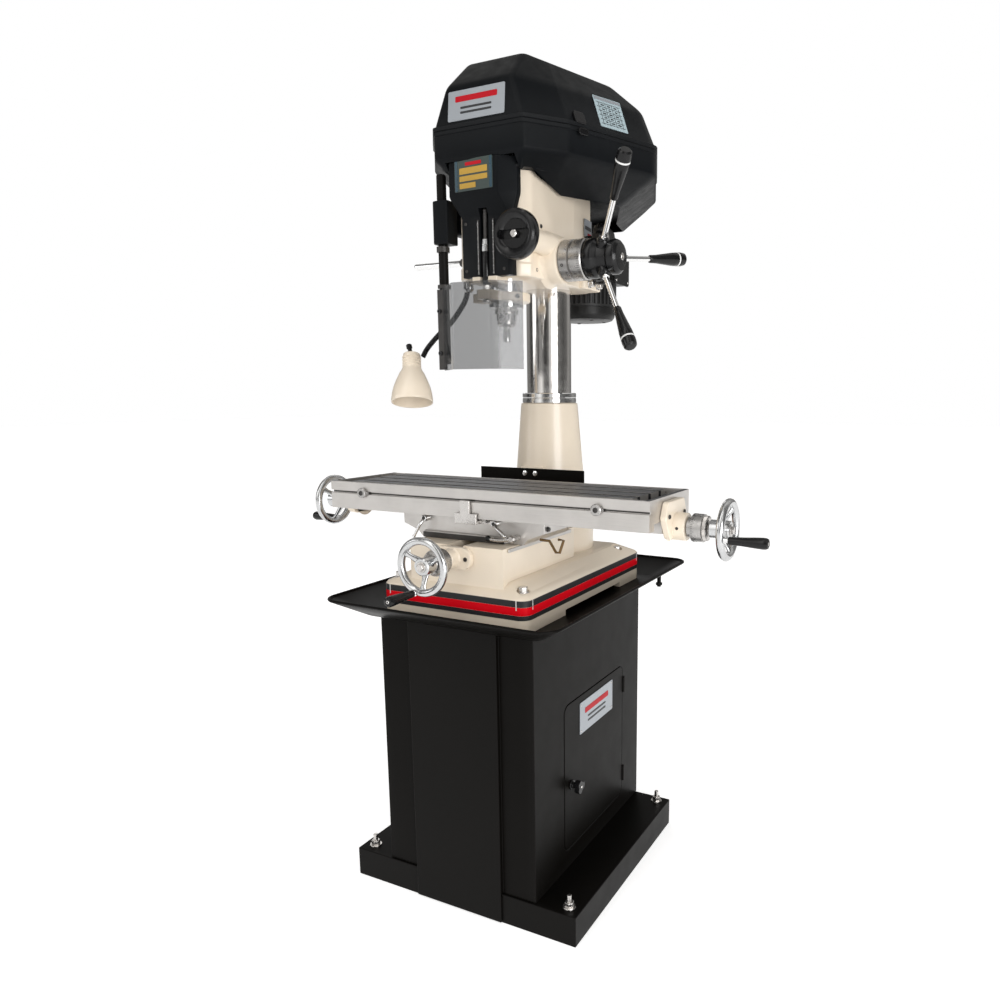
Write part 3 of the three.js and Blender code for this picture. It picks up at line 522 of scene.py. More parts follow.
def cross_feed():
    outline = rounded(-50, 50, 824, 874, 24, 8)
    bore = rod("y", -320, -255, 0, 849, SCREW_BORE, 0, 48)
    make("screw_bracket", prism(outline, "y", -282.4, -268.4), "cream", "stand", ("cross_screw_bracket",),
         2, cutters=[bore])
    nose = bored(SCREW_BORE, [(24, 0), (22, 3), (22, 24), (20.5, 25.5)])
    make("screw_bracket_nose", lathe(nose, (0, -282.4, 849), FRONT), "cream", "stand")
    screws = [cap_screw((x, -282.4, 849), FRONT, 5, 1.6) for x in (-37, 37)]
    make("screw_bracket_screws", screws, "iron", "stand")
    thread = [(0, -388)]
    for k in range(25):
        y = -262 + 12 * k
        thread += [(10, y), (8.6, y + 3), (8.6, y + 7), (10, y + 10)]
    make("cross_screw", lathe(thread + [(10, 58), (0, 58)], CROSS_SCREW, BACK, 40), "turned", "cross_screw",
         ("cross_leadscrew",))
    dial("cross_dial", (0, -308.8, 849), FRONT, "cross_screw", ("cross_dial",))
    handwheel("cross_wheel", (0, -384, 849), FRONT, 0.5, -29, 4, "cross_screw", ("cross_handwheel",))
    grip("cross_handle", (-14, -393.2, 794), FRONT, "cross_handle", ("cross_grip",))


def dial(name, origin, direction, body, nodes):
    """Graduated sleeve, its knurled lock ring and its engraved lines."""
    sleeve = bored(SCREW_BORE, [(20, 0), (21, 1), (21, 8), (29, 11), (29, 34)])
    make(name + "_sleeve", lathe(sleeve, origin, direction, 96), "dial", body, nodes)
    w = Vector(direction)
    u = w.orthogonal().normalized()
    v = w.cross(u)

    def row(at, turn_count, r, depth):
        out = []
        for i in range(turn_count):
            a = 2 * pi * i / turn_count
            reach = r - depth * (i % 2)
            out.append(Vector(origin) + w * at + (u * cos(a) + v * sin(a)) * reach)
        return out

    knurl = [row(34.3, 120, 24.5, 0), row(34.6, 120, 26, 1), row(42, 120, 26, 1), row(43.6, 120, 20, 0)]
    bore = [row(43.6, 120, SCREW_BORE, 0), row(34.3, 120, SCREW_BORE, 0)]
    make(name + "_knurl", skin(knurl + bore, ring=True), "turned", body, angle=20)
    ticks = []
    for k in range(50):
        a = 2 * pi * k / 50
        out, along = u * cos(a) + v * sin(a), u * -sin(a) + v * cos(a)
        long = 8 if k % 5 == 0 else 4.5
        ticks.append(plate(Vector(origin) + w * (12 + long / 2) + out * 29, along, w, 0.7, long, 0.25, 0,
                           0.1))
    make(name + "_lines", ticks, "ink", body)


def handwheel(name, origin, direction, spin, low, high, body, nodes):
    """Cast alloy wheel: oval rim, three tapered spokes, stepped hub and its cap screw."""
    origin, w = Vector(origin), Vector(direction)
    turn = [2 * pi * i / 20 for i in range(20)]
    section = [(55.5 + 8.5 * cos(a), 8.4 * sin(a)) for a in turn]
    rim = lathe(section + [section[0]], origin, direction, 96)
    hub = lathe(bored(SCREW_BORE, [(17.6, low), (19, low + 1.5), (19, high - 2), (17, high)]), origin,
                direction)
    u, v = Vector(BACK if w.x else RIGHT), Vector(UP)
    spokes = []
    for k in range(3):
        a = spin + 2 * pi * k / 3
        out, side = u * cos(a) + v * sin(a), v * cos(a) - u * sin(a)
        rows = []
        for t in (0, 0.12, 0.35, 0.7, 0.9, 1):
            reach = 15 + (50.5 - 15) * t
            mid = (low + high) / 2 * (1 - t)
            wide = 9.5 - 4 * min(t * 1.6, 1) + (2.5 if t > 0.85 else 0)
            thick = 5.2 - 1.2 * t
            rows.append([origin + out * reach + w * (mid + thick * sin(b)) + side * wide * cos(b)
                         for b in turn])
        spokes.append(skin(rows))
    make(name, merge(rim, hub, *spokes), "alloy", body, nodes)
    nut = merge(washer(origin + w * high, direction, 12, 2), hexagon(origin + w * high, direction, 15, 5,
                                                                     2))
    make(name + "_nut", nut, "turned", body, bevel=0.4)


def grip(name, origin, direction, body, nodes):
    """Turned black handle on its steel shoulder bolt."""
    stem = [(0, 0), (7, 0), (7, 2.5), (5, 3), (5, 9), (0, 9)]
    make(name + "_stem", lathe(stem, origin, direction, 40), "chrome", body)
    knob = [(0, 8.5), (7, 8.5), (8, 10), (8.1, 20), (9, 40), (10.6, 60), (11.5, 76), (11.2, 82),
            (9.5, 86.4), (6, 87.6), (5, 86.6), (0, 86.6)]
    make(name, lathe(knob, origin, direction, 64), "grip", body, nodes)
    end = Vector(origin) + Vector(direction) * 86
    make(name + "_screw", cap_screw(end, direction, 4, 1.2), "turned", body)


# ---------- saddle and table ----------
def saddle():
    from_cad("saddle", "steel", "saddle", 1.5)
    from_cad("table_stop_bracket", "turned", "saddle", 1)
    screws = [cap_screw((x, -213.4, 926), FRONT, 4.6, 4) for x in (17, 51)]
    make("stop_bracket_screws", screws, "iron", "saddle")
    gib = [merge(washer((192, y, 914), RIGHT, 6, 1.5), hexagon((192, y, 914), RIGHT, 9, 4, 1.5))
           for y in (-190, -60, -25)]
    make("gib_screws", gib, "iron", "saddle")
    make("saddle_wiper", slab(-128, 96, -216, -213.9, 877, 889), "iron", "saddle", bevel=0.6)
    for name, x, tip in (("table_lock_left", -118, (-136, -240, 880)),
                         ("table_lock_right", 74, (112, -240, 900))):
        lock(name, (x, -206, 922), tip, name, ("table_lock_lever_" + name[11:],))
    z = 893
    boss = lathe([(0, 0), (7, 0), (7, 18), (8, 20), (8, 27), (6, 30), (0, 30)], (125, -206, z), FRONT, 40)
    arm = tube(smooth_line([(125, -230, z), (110, -231.5, z - 3), (90, -232, z - 5), (66, -232, z - 4)]), 4)
    ball = lathe([(0, -8), (3, -7.4), (6, -5), (7.6, -1), (7.6, 1), (6, 5), (3, 7.4), (0, 8)],
                 (64, -232, 889), RIGHT, 32)
    make("saddle_lock", merge(boss, arm), "turned", "saddle_lock", ("saddle_lock_lever",))
    make("saddle_lock_ball", ball, "grip", "saddle_lock")
    hook = [(183, -207, 893), (206, -207, 892), (222, -207, 868), (231, -207, 868), (241, -207, 896),
            (228, -207, 897)]
    make("rail_hook", tube([Vector(p) for p in hook], 3.2, 8), "bronze", "saddle")


def lock(name, origin, tip, body, nodes):
    """Clamp lever: hexagon screw head with a bent arm and a rounded tip."""
    x, y, z = origin
    boss = lathe([(0, 0), (8, 0), (8, 16), (6.5, 19), (0, 20)], origin, FRONT, 40)
    way = Vector(tip) - Vector((x, y - 14, z))
    start = Vector((x, y - 13, z))
    line = smooth_line([start, start + way * 0.3 + Vector((0, -6, 0)), start + way * 0.65
                        + Vector((0, -4, 0)), tip])
    arm = tube(line, lambda t: 4.4 - 1.2 * t, 20)
    cap = lathe([(0, -4.4), (3, -3.3), (4.4, 0), (3, 3.3), (0, 4.4)], tip, way, 24)
    make(name, merge(boss, arm, cap), "chrome", body, nodes)
    make(name + "_screw", cap_screw((x, y - 20, z), FRONT, 4.2, 1.4), "iron", body)


def table():
    from_cad("table", "steel", "table", 0.8)
    x0, x1, y = -358, 462, -152
    # The top lands are coated with a darker copy of the ground steel: painted shade on the table top.
    lands = []
    for a, b in ((-104.5, -102), (-90, -65), (-51, -7), (7, 51), (65, 90), (102, 104.5)):
        lands.append(slab(x0 + 46.5, x1 - 46.5, y + a + 0.4, y + b - 0.4, 1001.02, 1001.3))
    for a, b in ((x0 + 1, x0 + 10), (x1 - 10, x1 - 1)):
        lands.append(slab(a, b, y - 113, y + 113, 1001.02, 1001.3))
    make("table_lands", lands, "top", "table")
    # Near-black sheets on the slot floors and walls are painted shade inside the T-slots.
    floors = [slab(x0 + 46.2, x1 - 46.2, y + d - 5.8, y + d + 5.8, 993.02, 993.4) for d in (-96, 96)]
    floors += [slab(x0 + 46.2, x1 - 46.2, y + d - 11.8, y + d + 11.8, 979.02, 979.4) for d in (-58, 0, 58)]
    floors += [slab(a + 0.2, b, y - 101.8, y + 101.8, 989.02, 989.4) for a,
               b in ((x0 + 10, x0 + 46), (x1 - 46, x1 - 10.2))]
    for d in (-58, 0, 58):
        for s in (-1, 1):
            a, b = sorted((d + s * 6.6, d + s * 6.98))
            floors.append(slab(x0 + 46.4, x1 - 46.4, y + a, y + b, 988.2, 1000.6))
    make("table_slot_shade_lining", floors, "slot", "table")
    # A thin dark strip at the back of the front groove is painted shade in the groove.
    make("groove_painted_shade", slab(x0 + 2, x1 - 2, y - 107.2, y - 106.9, 975.4, 978.6), "iron", "table")
    for name, x in (("stop_dog_left", -259), ("stop_dog_right", 349)):
        block = merge(lathe([(0, 0), (10.5, 0), (12, 1), (12, 7), (10.5, 8.4), (0, 8.4)],
                            (x, -266.4, 977.5), FRONT, 48), slab(x - 14, x + 14, -268, -262, 974.6, 980.4))
        make(name, block, "dial", "table", bevel=0.4)
        make(name + "_screw", cap_screw((x, -274.8, 977.5), FRONT, 5.5, 1.6), "iron", "table")
    for side, edge in ((-1, -358.4), (1, 462.4)):
        name = "left" if side < 0 else "right"
        outline = fillet([(y - 46, 992), (y - 62, 960), (y - 34, 912), (y + 34, 912), (y + 62, 960),
                          (y + 46, 992)], [8, 14, 16, 16, 14, 8], 6)
        bore = rod("x", edge - 60, edge + 60, y, TABLE_SCREW_Z, SCREW_BORE, 0, 48)
        make(f"end_plate_{name}", prism(outline, "x", *sorted((edge, edge + side * 14))), "cream", "table",
             (f"end_bracket_{name}",), 2.5, cutters=[bore])
        nose = bored(SCREW_BORE, [(33, 0), (30, 3), (29, 6), (29, 38), (27.5, 39.6)])
        make(f"end_nose_{name}", lathe(nose, (edge, y, TABLE_SCREW_Z), (side, 0, 0), 96), "cream", "table")
        screws = [cap_screw((edge + side * 14, y + a, 962), (side, 0, 0), 4.6, 3) for a in (-44, 44)]
        make(f"end_screws_{name}", merge(*screws), "iron", "table")
        make(f"end_oiler_{name}", cap_screw((edge + side * 25, y - 28.6, TABLE_SCREW_Z), FRONT, 3.2, 1.5),
             "iron", "table")
    screw = [(0, -470), (10, -470)]
    for k in range(66):
        x = -350 + 12 * k
        screw += [(10, x), (8.6, x + 3), (8.6, x + 7), (10, x + 10)]
    make("table_screw", lathe(screw + [(10, 592), (0, 592)], (0, y, TABLE_SCREW_Z), RIGHT, 32), "turned",
         "table_screw", ("table_leadscrew",))
    dial("table_dial", (503.2, y, TABLE_SCREW_Z), RIGHT, "table_screw", ("table_dial",))
    handwheel("table_wheel_left", (-460, y, TABLE_SCREW_Z), LEFT, 0.4, -58, 10, "table_screw",
              ("table_handwheel_left",))
    handwheel("table_wheel_right", (586, y, TABLE_SCREW_Z), RIGHT, 0.9, -36, 6, "table_screw",
              ("table_handwheel_right",))
    grip("table_handle_left", (-469.2, y + 23, 885), LEFT, "left_handle", ("table_grip_left",))
    grip("table_handle_right", (595.2, y - 56, 926), RIGHT, "right_handle", ("table_grip_right",))


# ---------- head ----------
def head():
    outline = [(-98, -80), (-74, -104), (74, -104), (98, -80), (102, 116), (88, 238), (64, 256), (-64, 256),
               (-88, 238), (-102, 116)]

    def grown(step):
        return [(x * (1 + step / 110), 76 + (y - 76) * (1 + step / 190)) for x, y in fillet(outline, 20, 5)]

    block = loft([(1465, grown(-2.5)), (1466, grown(-0.8)), (1468, grown(0)), (1492, grown(0)),
                  (1496, grown(-2.2)), (1686, grown(-2.2)), (1690, grown(-3))])
    cutters = [rod("z", 1400, 1700, 0, 165, 58, 0, 96), slab(-16, 16, 165, 238.5, 1400, 1700),
               rod("z", 1400, 1652, 0, -38, 38.4, 0, 72), rod("z", 1640, 1700, 0, -38, 24, 0, 48),
               rod("x", 60, 140, 6, 1508, 16.4, 0, 40), rod("x", -130, -66, 128, 1560, 9.4, 0, 32)]
    make("head_block", block, "cream", "head", ("head_casting",), 0, cutters=cutters)
    boss = bored(16.4, [(60, 92), (56, 99), (53, 104), (52, 110), (52, 132), (50, 135.3)])
    make("feed_boss", lathe(boss, FEED, RIGHT, 96), "cream", "head")
    worm = bored(8.4, [(22, -140), (24, -138), (24, -60), (27, -48), (27, 6)])
    make("worm_housing", lathe(worm, FINE_FEED, BACK, 64), "cream", "head",
         cutters=[slab(60, 97, -160, 10, 1500, 1600)])
    ears = [prism(rounded(a, b, 150, 246, 10), "z", 1465.2, 1495) for a, b in ((70, 112), (-112, -70))]
    make("clamp_ears", ears, "cream", "head", bevel=3)
    clamps = [bolt((s * 112, y, 1480), (s, 0, 0), 17, 11) for s in (-1, 1) for y in (176, 222)]
    make("clamp_bolts", clamps, "turned", "head", bevel=0.5)
    crank = bored(9.4, [(26, 90), (24, 98), (24, 122), (22.5, 124)])
    make("crank_boss", lathe(crank, (0, 128, 1560), LEFT, 64), "cream", "head")
    lug = prism(rounded(-33, 34, -131, -80, 5), "z", 1452, 1465.6)
    make("depth_lug", lug, "cream", "head", bevel=2, cutters=[slab(-11, 11, -132, -104, 1440, 1480),
                                                              rod("z", 1440, 1480, 0, -38, 44, 0, 64)])
    plugs = [cap_screw((96 + 0.02 * k, y, z), RIGHT, 4.5, 2.6) for k,
             (y, z) in enumerate(((-62, 1482), (-40, 1580), (70, 1482), (60, 1600)))]
    make("head_screws", plugs, "iron", "head")
    side = (-0.1144, 0.9934, 0)
    make("side_label", plate((93, 205, 1617), side, UP, 52, 42, 0.8, 0, 2), "plate", "head")
    make("side_label_bar", plate((93, 205, 1617), side, UP, 44, 9, 0.5, 0.8, 1), "ink", "head")
    make("side_label_foot", plate((91.9, 214.4, 1602), side, UP, 28, 8, 0.2, 0.8, 1), "bar", "head")
    front_cover()
    quill()


def front_cover():
    y = -104.4
    wide = [(-86, y), (-86, -136), (48, -144), (84, -118), (84, y)]
    slim = [(-62, y), (-62, -124), (62, -124), (70, -118), (70, y)]
    wide, slim = (fillet(p, [0.5, 5, 8, 6, 0.5], 5) for p in (wide, slim))

    def between(t):
        return [(a[0] + (b[0] - a[0]) * t, a[1] + (b[1] - a[1]) * t) for a, b in zip(slim, wide)]

    shell = loft([(1466, between(0)), (1592, between(0)), (1598, between(0.07)), (1636, between(0.93)),
                  (1642, wide), (1709, wide), (1712, between(0.96))])
    groove = slab(-11, 11, -131, -109, 1400, 1618)
    make("front_shell", shell, "guard", "head", ("front_cover",),
         cutters=[groove, rod("y", -160, -100, 108, 1541, 26, 0, 48)])
    right = Vector((134, -8, 0)).normalized()
    face = Vector((-15, -140.2, 1681))
    make("info_panel", plate(face, right, UP, 104, 66, 0.8, 0, 2), "info", "head")
    make("info_edges", merge(*[plate(face + right * s, right, UP, 7, 64, 0.5, 0.8, 1) for s in (-47, 47)]),
         "blue", "head")
    make("info_head", plate(face + Vector((0, 0, 23)), right, UP, 44, 7, 0.5, 0.8, 1), "bar", "head")
    rows = [plate(face + Vector((0, 0, 9)), right, UP, 76, 13, 0.5, 0.8, 1),
            plate(face + Vector((0, 0, -7)), right, UP, 76, 11, 0.5, 0.8, 1),
            plate(face + right * -16 + Vector((0, 0, -22)), right, UP, 44, 11, 0.5, 0.8, 1)]
    make("info_rows", rows, "amber", "head")
    rails = [slab(x - 2, x + 2, -126.6, -123, 1470, 1588) for x in (-16, 24)]
    make("depth_rails", rails, "iron", "head", bevel=0.5)
    marks = []
    for x in (-16, 24):
        for k in range(38):
            long = 3.6 if k % 5 == 0 else 2.2
            marks.append(slab(x - long / 2, x + long / 2, -126.9, -126.5, 1472 + 3 * k, 1472.7 + 3 * k))
    make("depth_marks", marks, "white", "head")
    screws = [cap_screw((x, -124, z), FRONT, 3.5, 1.4) for x in (-50, 50) for z in (1480, 1582)]
    make("cover_screws", screws, "iron", "head")


def quill():
    sleeve = bored(20.4, [(39, 1404), (40, 1405), (40, 1413), (39, 1414), (38, 1414), (38, 1640)])
    make("quill_sleeve", lathe(sleeve, SPINDLE, UP, 96), "chrome", "quill", ("quill",))
    nose = [(-20, -136), (20, -136), (20, -68), (-20, -68)]
    bores = [rod("z", 1400, 1450, 0, -38, 38.4, 0, 96), rod("z", 1400, 1450, 0, -120, 5.4, 0, 32)]
    arm = prism(fillet(nose, 8, 5), "z", 1417, 1437)
    make("stop_arm_nose", arm, "cream", "quill", ("depth_stop_arm",), 2, cutters=bores)
    left = prism(rounded(-74, -30, -72, -36, 8), "z", 1417.1, 1436.9)
    make("stop_arm_ear", left, "cream", "quill", (), 2, cutters=bores[:1])
    ring = bored(38.4, [(54, 1417), (56, 1419), (56, 1435), (54, 1437)])
    make("stop_arm_ring", lathe(ring, SPINDLE, UP, 96), "cream", "quill")
    make("stop_arm_screws", merge(cap_screw((-74, -54, 1427), LEFT, 5, 5),
                                  cap_screw((48, -67, 1427), (0.86, -0.52, 0), 5, 4)), "iron", "quill")
    thread = [(0, 1410)]
    for k in range(66):
        thread += [(4.4, 1411 + 3 * k), (5, 1412 + 3 * k), (5, 1413 + 3 * k)]
    make("depth_screw", lathe(thread + [(4, 1611), (0, 1612)], DEPTH_ROD, UP, 24), "iron", "quill",
         ("depth_rod",))
    make("depth_sleeve", lathe(bored(5.2, [(8, 1449.5), (8.6, 1451), (8.6, 1517), (8, 1519)]), DEPTH_ROD,
                               UP, 48), "grip", "quill")
    nut = bored(5.2, [(9.5, 1520), (9.5, 1531), (8.8, 1532), (8.8, 1534), (9.5, 1535), (8, 1546)])
    make("depth_nut", lathe(nut, DEPTH_ROD, UP, 48), "alloy", "quill")
    locks = [hexagon(DEPTH_ROD, UP, 16, 11, 1437.4), hexagon(DEPTH_ROD, UP, 16, 7, 1409.6)]
    make("depth_lock_nuts", locks, "turned", "quill", bevel=0.4)
    chuck = [(0, 1360), (15, 1360), (22, 1367), (22, 1371), (21, 1372), (21, 1374), (22, 1375), (22, 1388),
             (27, 1390), (27, 1401), (26, 1402.6), (20, 1403), (20, 1734), (14, 1735), (14, 1927),
             (13, 1928), (0, 1928)]
    make("spindle_shaft", lathe(chuck, SPINDLE, UP, 72), "turned", "spindle", ("spindle",))
    # Dark blocks round the spindle nose stand for its notches: painted shade in the notches.
    points, faces = slab(-2, 2, -1.2, 1.2, 1375, 1388)
    notch_shades = []
    for k in range(8):
        turn = Matrix.Rotation(2 * pi * k / 8, 3, "Z")
        notch_shades.append(([turn @ (Vector(p) + Vector((0, -22, 0))) + Vector(SPINDLE) for p in points],
                        faces))
    make("collet_notch_shades", notch_shades, "ink", "spindle")
    cutter = [(0, 1326), (7, 1326), (9, 1328), (9, 1354), (8, 1356), (8, 1361), (0, 1361)]
    make("cutter_shank", lathe(cutter, SPINDLE, UP, 48), "chrome", "spindle")


# ---------- drive ----------
def drive():
    def pulley(x, y, radii, bottom, hub):
        profile, z = [(0, bottom), (hub, bottom), (hub, 1800)], 1800
        for r in radii:
            profile += [(r - 1, z), (r, z + 1), (r, z + 2), (r - 8, z + 7), (r - 8, z + 9), (r, z + 14),
                        (r, z + 15)]
            z += 16
        return lathe(profile + [(20, 1864), (18, 1858), (0, 1858)], (x, y, 0), UP, 72)

    bore = rod("z", 1700, 1900, 0, -38, 14.4, 0, 48)
    make("drive_wheel", pulley(0, -38, (44, 52, 64, 76), 1738, 22), "alloy", "drive_pulley",
         ("spindle_pulley",), cutters=[bore])
    make("idler_wheel", pulley(165, 165, (70, 60, 50, 42), 1716, 11), "alloy", "idler", ("idler_pulley",))
    make("motor_wheel", pulley(0, 375, (44, 52, 64, 76), 1627, 12), "alloy", "motor_drive",
         ("motor_pulley",))
    for name, node, a, ra, b, rb, z in (("belt_front", "front_belt", (0, -38), 60.4, (165, 165), 46.4,
                                         1840), ("belt_rear", "rear_belt", (165, 165), 66.4, (0, 375), 40.4,
                                                 1808)):
        levels = [(z - 2.5, belt_loop(a, ra, b, rb, 0)), (z - 3.5, belt_loop(a, ra, b, rb, 6.5)),
                  (z + 3.5, belt_loop(a, ra, b, rb, 6.5)), (z + 2.5, belt_loop(a, ra, b, rb, 0))]
        make(name, loft(levels, True), "rubber", "head", (node,))
    ribs = []
    for k in range(240):
        a = 2 * pi * k / 240
        r = 87 if k % 6 < 3 else 83
        ribs.append((r * cos(a), 375 + r * sin(a)))
    centre = (0, 375, 0)
    bell_low = [(0, 1405), (66, 1405), (76, 1408), (82, 1416), (83, 1424), (83, 1440), (87, 1441),
                (87, 1447), (0, 1447)]
    bell_high = bored(12.4, [(87, 1620), (87, 1626), (83, 1627), (81, 1640), (74, 1650), (62, 1655)])
    make("motor_body", prism(ribs, "z", 1447, 1620), "motor", "head", ("motor",), angle=25)
    make("motor_bells", merge(lathe(bell_low, centre, UP, 96), lathe(bell_high, centre, UP, 96)), "motor",
         "head")
    make("motor_mount", slab(-58, 58, 256.5, 330, 1520, 1610), "motor", "head", bevel=4)
    box = prism(rounded(330, 420, 1500, 1580, 8), "x", 80, 108)
    cover = prism(rounded(328, 422, 1498, 1582, 9), "x", 108.3, 113)
    make("terminal_box", merge(box, cover), "motor", "head", bevel=1.5)
    screws = [cap_screw((113, y, z), RIGHT, 3.5, 1.6) for y in (338, 412) for z in (1508, 1572)]
    make("motor_screws", screws, "turned", "head")
    holes = [cap_screw((56 * cos(a), 375 + 56 * sin(a), 1405), DOWN, 5, 1.5)
             for a in (radians(45 + 90 * k) for k in range(4))]
    make("motor_end_screws", holes, "iron", "head")


def belt_loop(a, ra, b, rb, grow):
    """Outline of a belt round two pulleys, set off outward."""
    away = Vector(b) - Vector(a)
    lean = acos((ra - rb) / away.length)
    toward = atan2(away.y, away.x)
    out = []
    for c, r, start, end in ((a, ra, toward + lean, toward + 2 * pi - lean),
                             (b, rb, toward - lean, toward + lean)):
        for k in range(33):
            t = start + (end - start) * k / 32
            out.append((c[0] + (r + grow) * cos(t), c[1] + (r + grow) * sin(t)))
    return out


# ---------- belt guard ----------
def guard_plan(front, mid, wide, half, shrink=0.0, r=16):
    """Ten-cornered outline of the belt guard from its half widths and half length."""
    y = 194
    front, wide, half = front - shrink * 0.7, wide - shrink, half - shrink
    mid = (mid[0] - shrink * 0.9, mid[1] - shrink * 0.9)
    side = [(front, y - half), (mid[0], y - mid[1]), (wide, y), (mid[0], y + mid[1]), (front, y + half)]
    return fillet(side + [(-x, v) for x, v in reversed(side)], [r, r * 3, r * 3, r * 3, r] * 2, 6)


def eased(levels, reach=9.0):
    """Rounds the inner edges between loft levels with short arcs."""
    out = [levels[0]]
    for (z0, a), (z1, b), (z2, c) in zip(levels, levels[1:], levels[2:]):
        low, high = min(reach / max(z1 - z0, 0.1), 0.45), min(reach / max(z2 - z1, 0.1), 0.45)
        for k in range(6):
            t = k / 5
            w0, w2 = (1 - t) ** 2 * low, t * t * high
            z = z1 + (z0 - z1) * w0 + (z2 - z1) * w2
            out.append((z, [(q[0] + (p[0] - q[0]) * w0 + (s[0] - q[0]) * w2, q[1] + (p[1] - q[1]) * w0
                             + (s[1] - q[1]) * w2) for p, q, s in zip(a, b, c)]))
    return out + [levels[-1]]


def guard():
    low_plan, wide_plan = (70, (96, 190), 190, 290), (114, (180, 252), 281, 339)
    mid_plan, top_plan = (84, (140, 240), 243, 331), (74, (96, 196), 160, 262)
    pan = eased([(1660, guard_plan(*low_plan)), (1718, guard_plan(*wide_plan)),
                 (1778, guard_plan(*wide_plan))], 6)
    cutters = [slab(-108, 108, -112, 262, 1650, 1690.4), slab(-90, 90, -150, -96, 1650, 1712.4)]
    cavity = loft([(1650, guard_plan(*low_plan, 4)), (1660, guard_plan(*low_plan, 4)),
                   (1719, guard_plan(*wide_plan, 4)), (1790, guard_plan(*wide_plan, 4))])
    make("guard_pan", loft(pan), "guard", "head", ("belt_guard_pan",), cutters=[cavity, *cutters])
    deck = loft([(1690.4, guard_plan(92, (138, 218), 233, 314)),
                 (1695.4, guard_plan(92, (138, 218), 233, 314))])
    holes = [rod("z", 1600, 1800, 0, 165, 62, 0, 64), slab(-18, 18, 165, 240, 1600, 1800),
             rod("z", 1600, 1800, 0, -38, 26, 0, 48), rod("z", 1600, 1800, 0, 375, 18, 0, 48)]
    make("guard_deck", deck, "guard", "head", cutters=holes)
    post = bored(11.4, [(24, 1695), (16, 1702), (16, 1741)])
    make("idler_post", lathe(post, (165, 165, 0), UP, 48), "guard", "head")
    lip = [(z, guard_plan(*wide_plan, s)) for z, s in ((1769, -0.3), (1770, -2.2), (1777, -2.2),
                                                       (1777.8, -1.4), (1777.8, 0.2), (1769, 0.2))]
    make("guard_pan_lip", loft(lip, True), "guard", "head")
    lid = eased([(1778.6, guard_plan(*wide_plan)), (1868, guard_plan(*mid_plan)),
                 (1937, guard_plan(*top_plan)), (1938, guard_plan(*top_plan, 14))], 10)
    hollow = loft([(1770, guard_plan(*wide_plan, 4)), (1780, guard_plan(*wide_plan, 4)),
                   (1866, guard_plan(*mid_plan, 5)), (1932, guard_plan(*top_plan, 7)),
                   (1933.5, guard_plan(*top_plan, 15))])
    make("guard_lid", loft(lid), "guard", "lid", ("belt_guard_lid",), cutters=[hollow])
    edge = [(z, guard_plan(*wide_plan, s)) for z, s in ((1778.8, -1.6), (1779.6, -2.4), (1787, -2.4),
                                                        (1788.5, 0.6), (1778.8, 0.2))]
    gaps = [slab(-300, -272, y - 28, y + 28, 1770, 1800) for y in (164, 224)]
    make("guard_lid_lip", loft(edge, True), "guard", "lid", cutters=gaps)
    panel = eased([(1937.6, guard_plan(*top_plan, 34)), (1939.4, guard_plan(*top_plan, 36)),
                   (1939.6, guard_plan(*top_plan, 40))], 1)
    make("guard_lid_panel", loft(panel), "guard", "lid")
    guard_trim()


def on_lid(along, above, side=1):
    """Point on a lid side face, with the directions along and up it, seen from outside."""
    low = [Vector((180, -58, 1778.4)), Vector((281, 194, 1778.4))]
    high = [Vector((140, -46, 1868)), Vector((243, 194, 1868))]
    first, last = low[0].lerp(high[0], above), low[1].lerp(high[1], above)
    at = first.lerp(last, along)
    right = (last - first).normalized()
    up = high[0].lerp(high[1], along) - low[0].lerp(low[1], along)
    up = (up - right * up.dot(right)).normalized()
    if side < 0:
        at, right, up = (Vector((-v.x, v.y, v.z)) for v in (at, -right, up))
    return at, right, up


def guard_trim():
    right, up = RIGHT, Vector((0, 8, 89.6)).normalized()
    at = Vector((-3, -140.8, 1824.5))
    make("front_plate", plate(at, right, up, 146, 63, 1.4, 0.2, 3), "plate", "lid", bevel=0.3)
    make("front_plate_bar", plate(at + up * 13, right, up, 108, 12, 0.5, 1.6), "bar", "lid")
    lines = [plate(at + up * z, right, up, 80, 4.5, 0.5, 1.6) for z in (-6, -16)]
    make("front_plate_lines", lines, "ink", "lid")
    at, right, up = on_lid(0.545, 0.62)
    make("speed_chart", plate(at, right, up, 84, 80, 1, 0.6, 2), "chart", "lid", bevel=0.2)
    make("speed_chart_head", plate(at + up * 34, right, up, 80, 8, 0.5, 1.6, 1), "plate", "lid")
    bars = [plate(at + up * (24 - 11 * k), right, up, 72, 1, 0.4, 1.6, 0.2) for k in range(6)]
    bars += [plate(at + right * s - up * 5, right, up, 1, 58, 0.4, 1.6, 0.2) for s in (-30, -10, 10, 30)]
    bars += [plate(at + right * (s + 3) + up * (18.5 - 11 * k), right, up, 7 + (k * 3 + s) % 5, 3, 0.4, 1.6,
                   0.4) for s in (-22, -3, 17) for k in range(5)]
    make("speed_chart_grid", bars, "ink", "lid")
    at, right, up = on_lid(0.12, 0.2)
    make("lid_latch", plate(at, right, up, 30, 30, 7, 1.4, 5), "grip", "lid", bevel=2)
    make("lid_latch_keeper", plate(at - up * 32, right, UP, 26, 14, 6, 2, 4), "grip", "head", bevel=2)
    at, right, up = on_lid(0.2, 0.6, -1)
    make("lid_side_label", plate(at, right, up, 56, 40, 0.8, 1, 2), "amber", "lid")
    make("lid_side_lines", merge(*[plate(at + up * s, right, up, 42, 3, 0.4, 1.8, 1) for s in (-9, 0, 9)]),
         "ink", "lid")
    barrels = [rod("y", y - 26, y + 26, -284.5, 1778.2, 4.6, 0.8, 32) for y in (164, 224)]
    make("lid_hinge_barrels", barrels, "iron", "head")


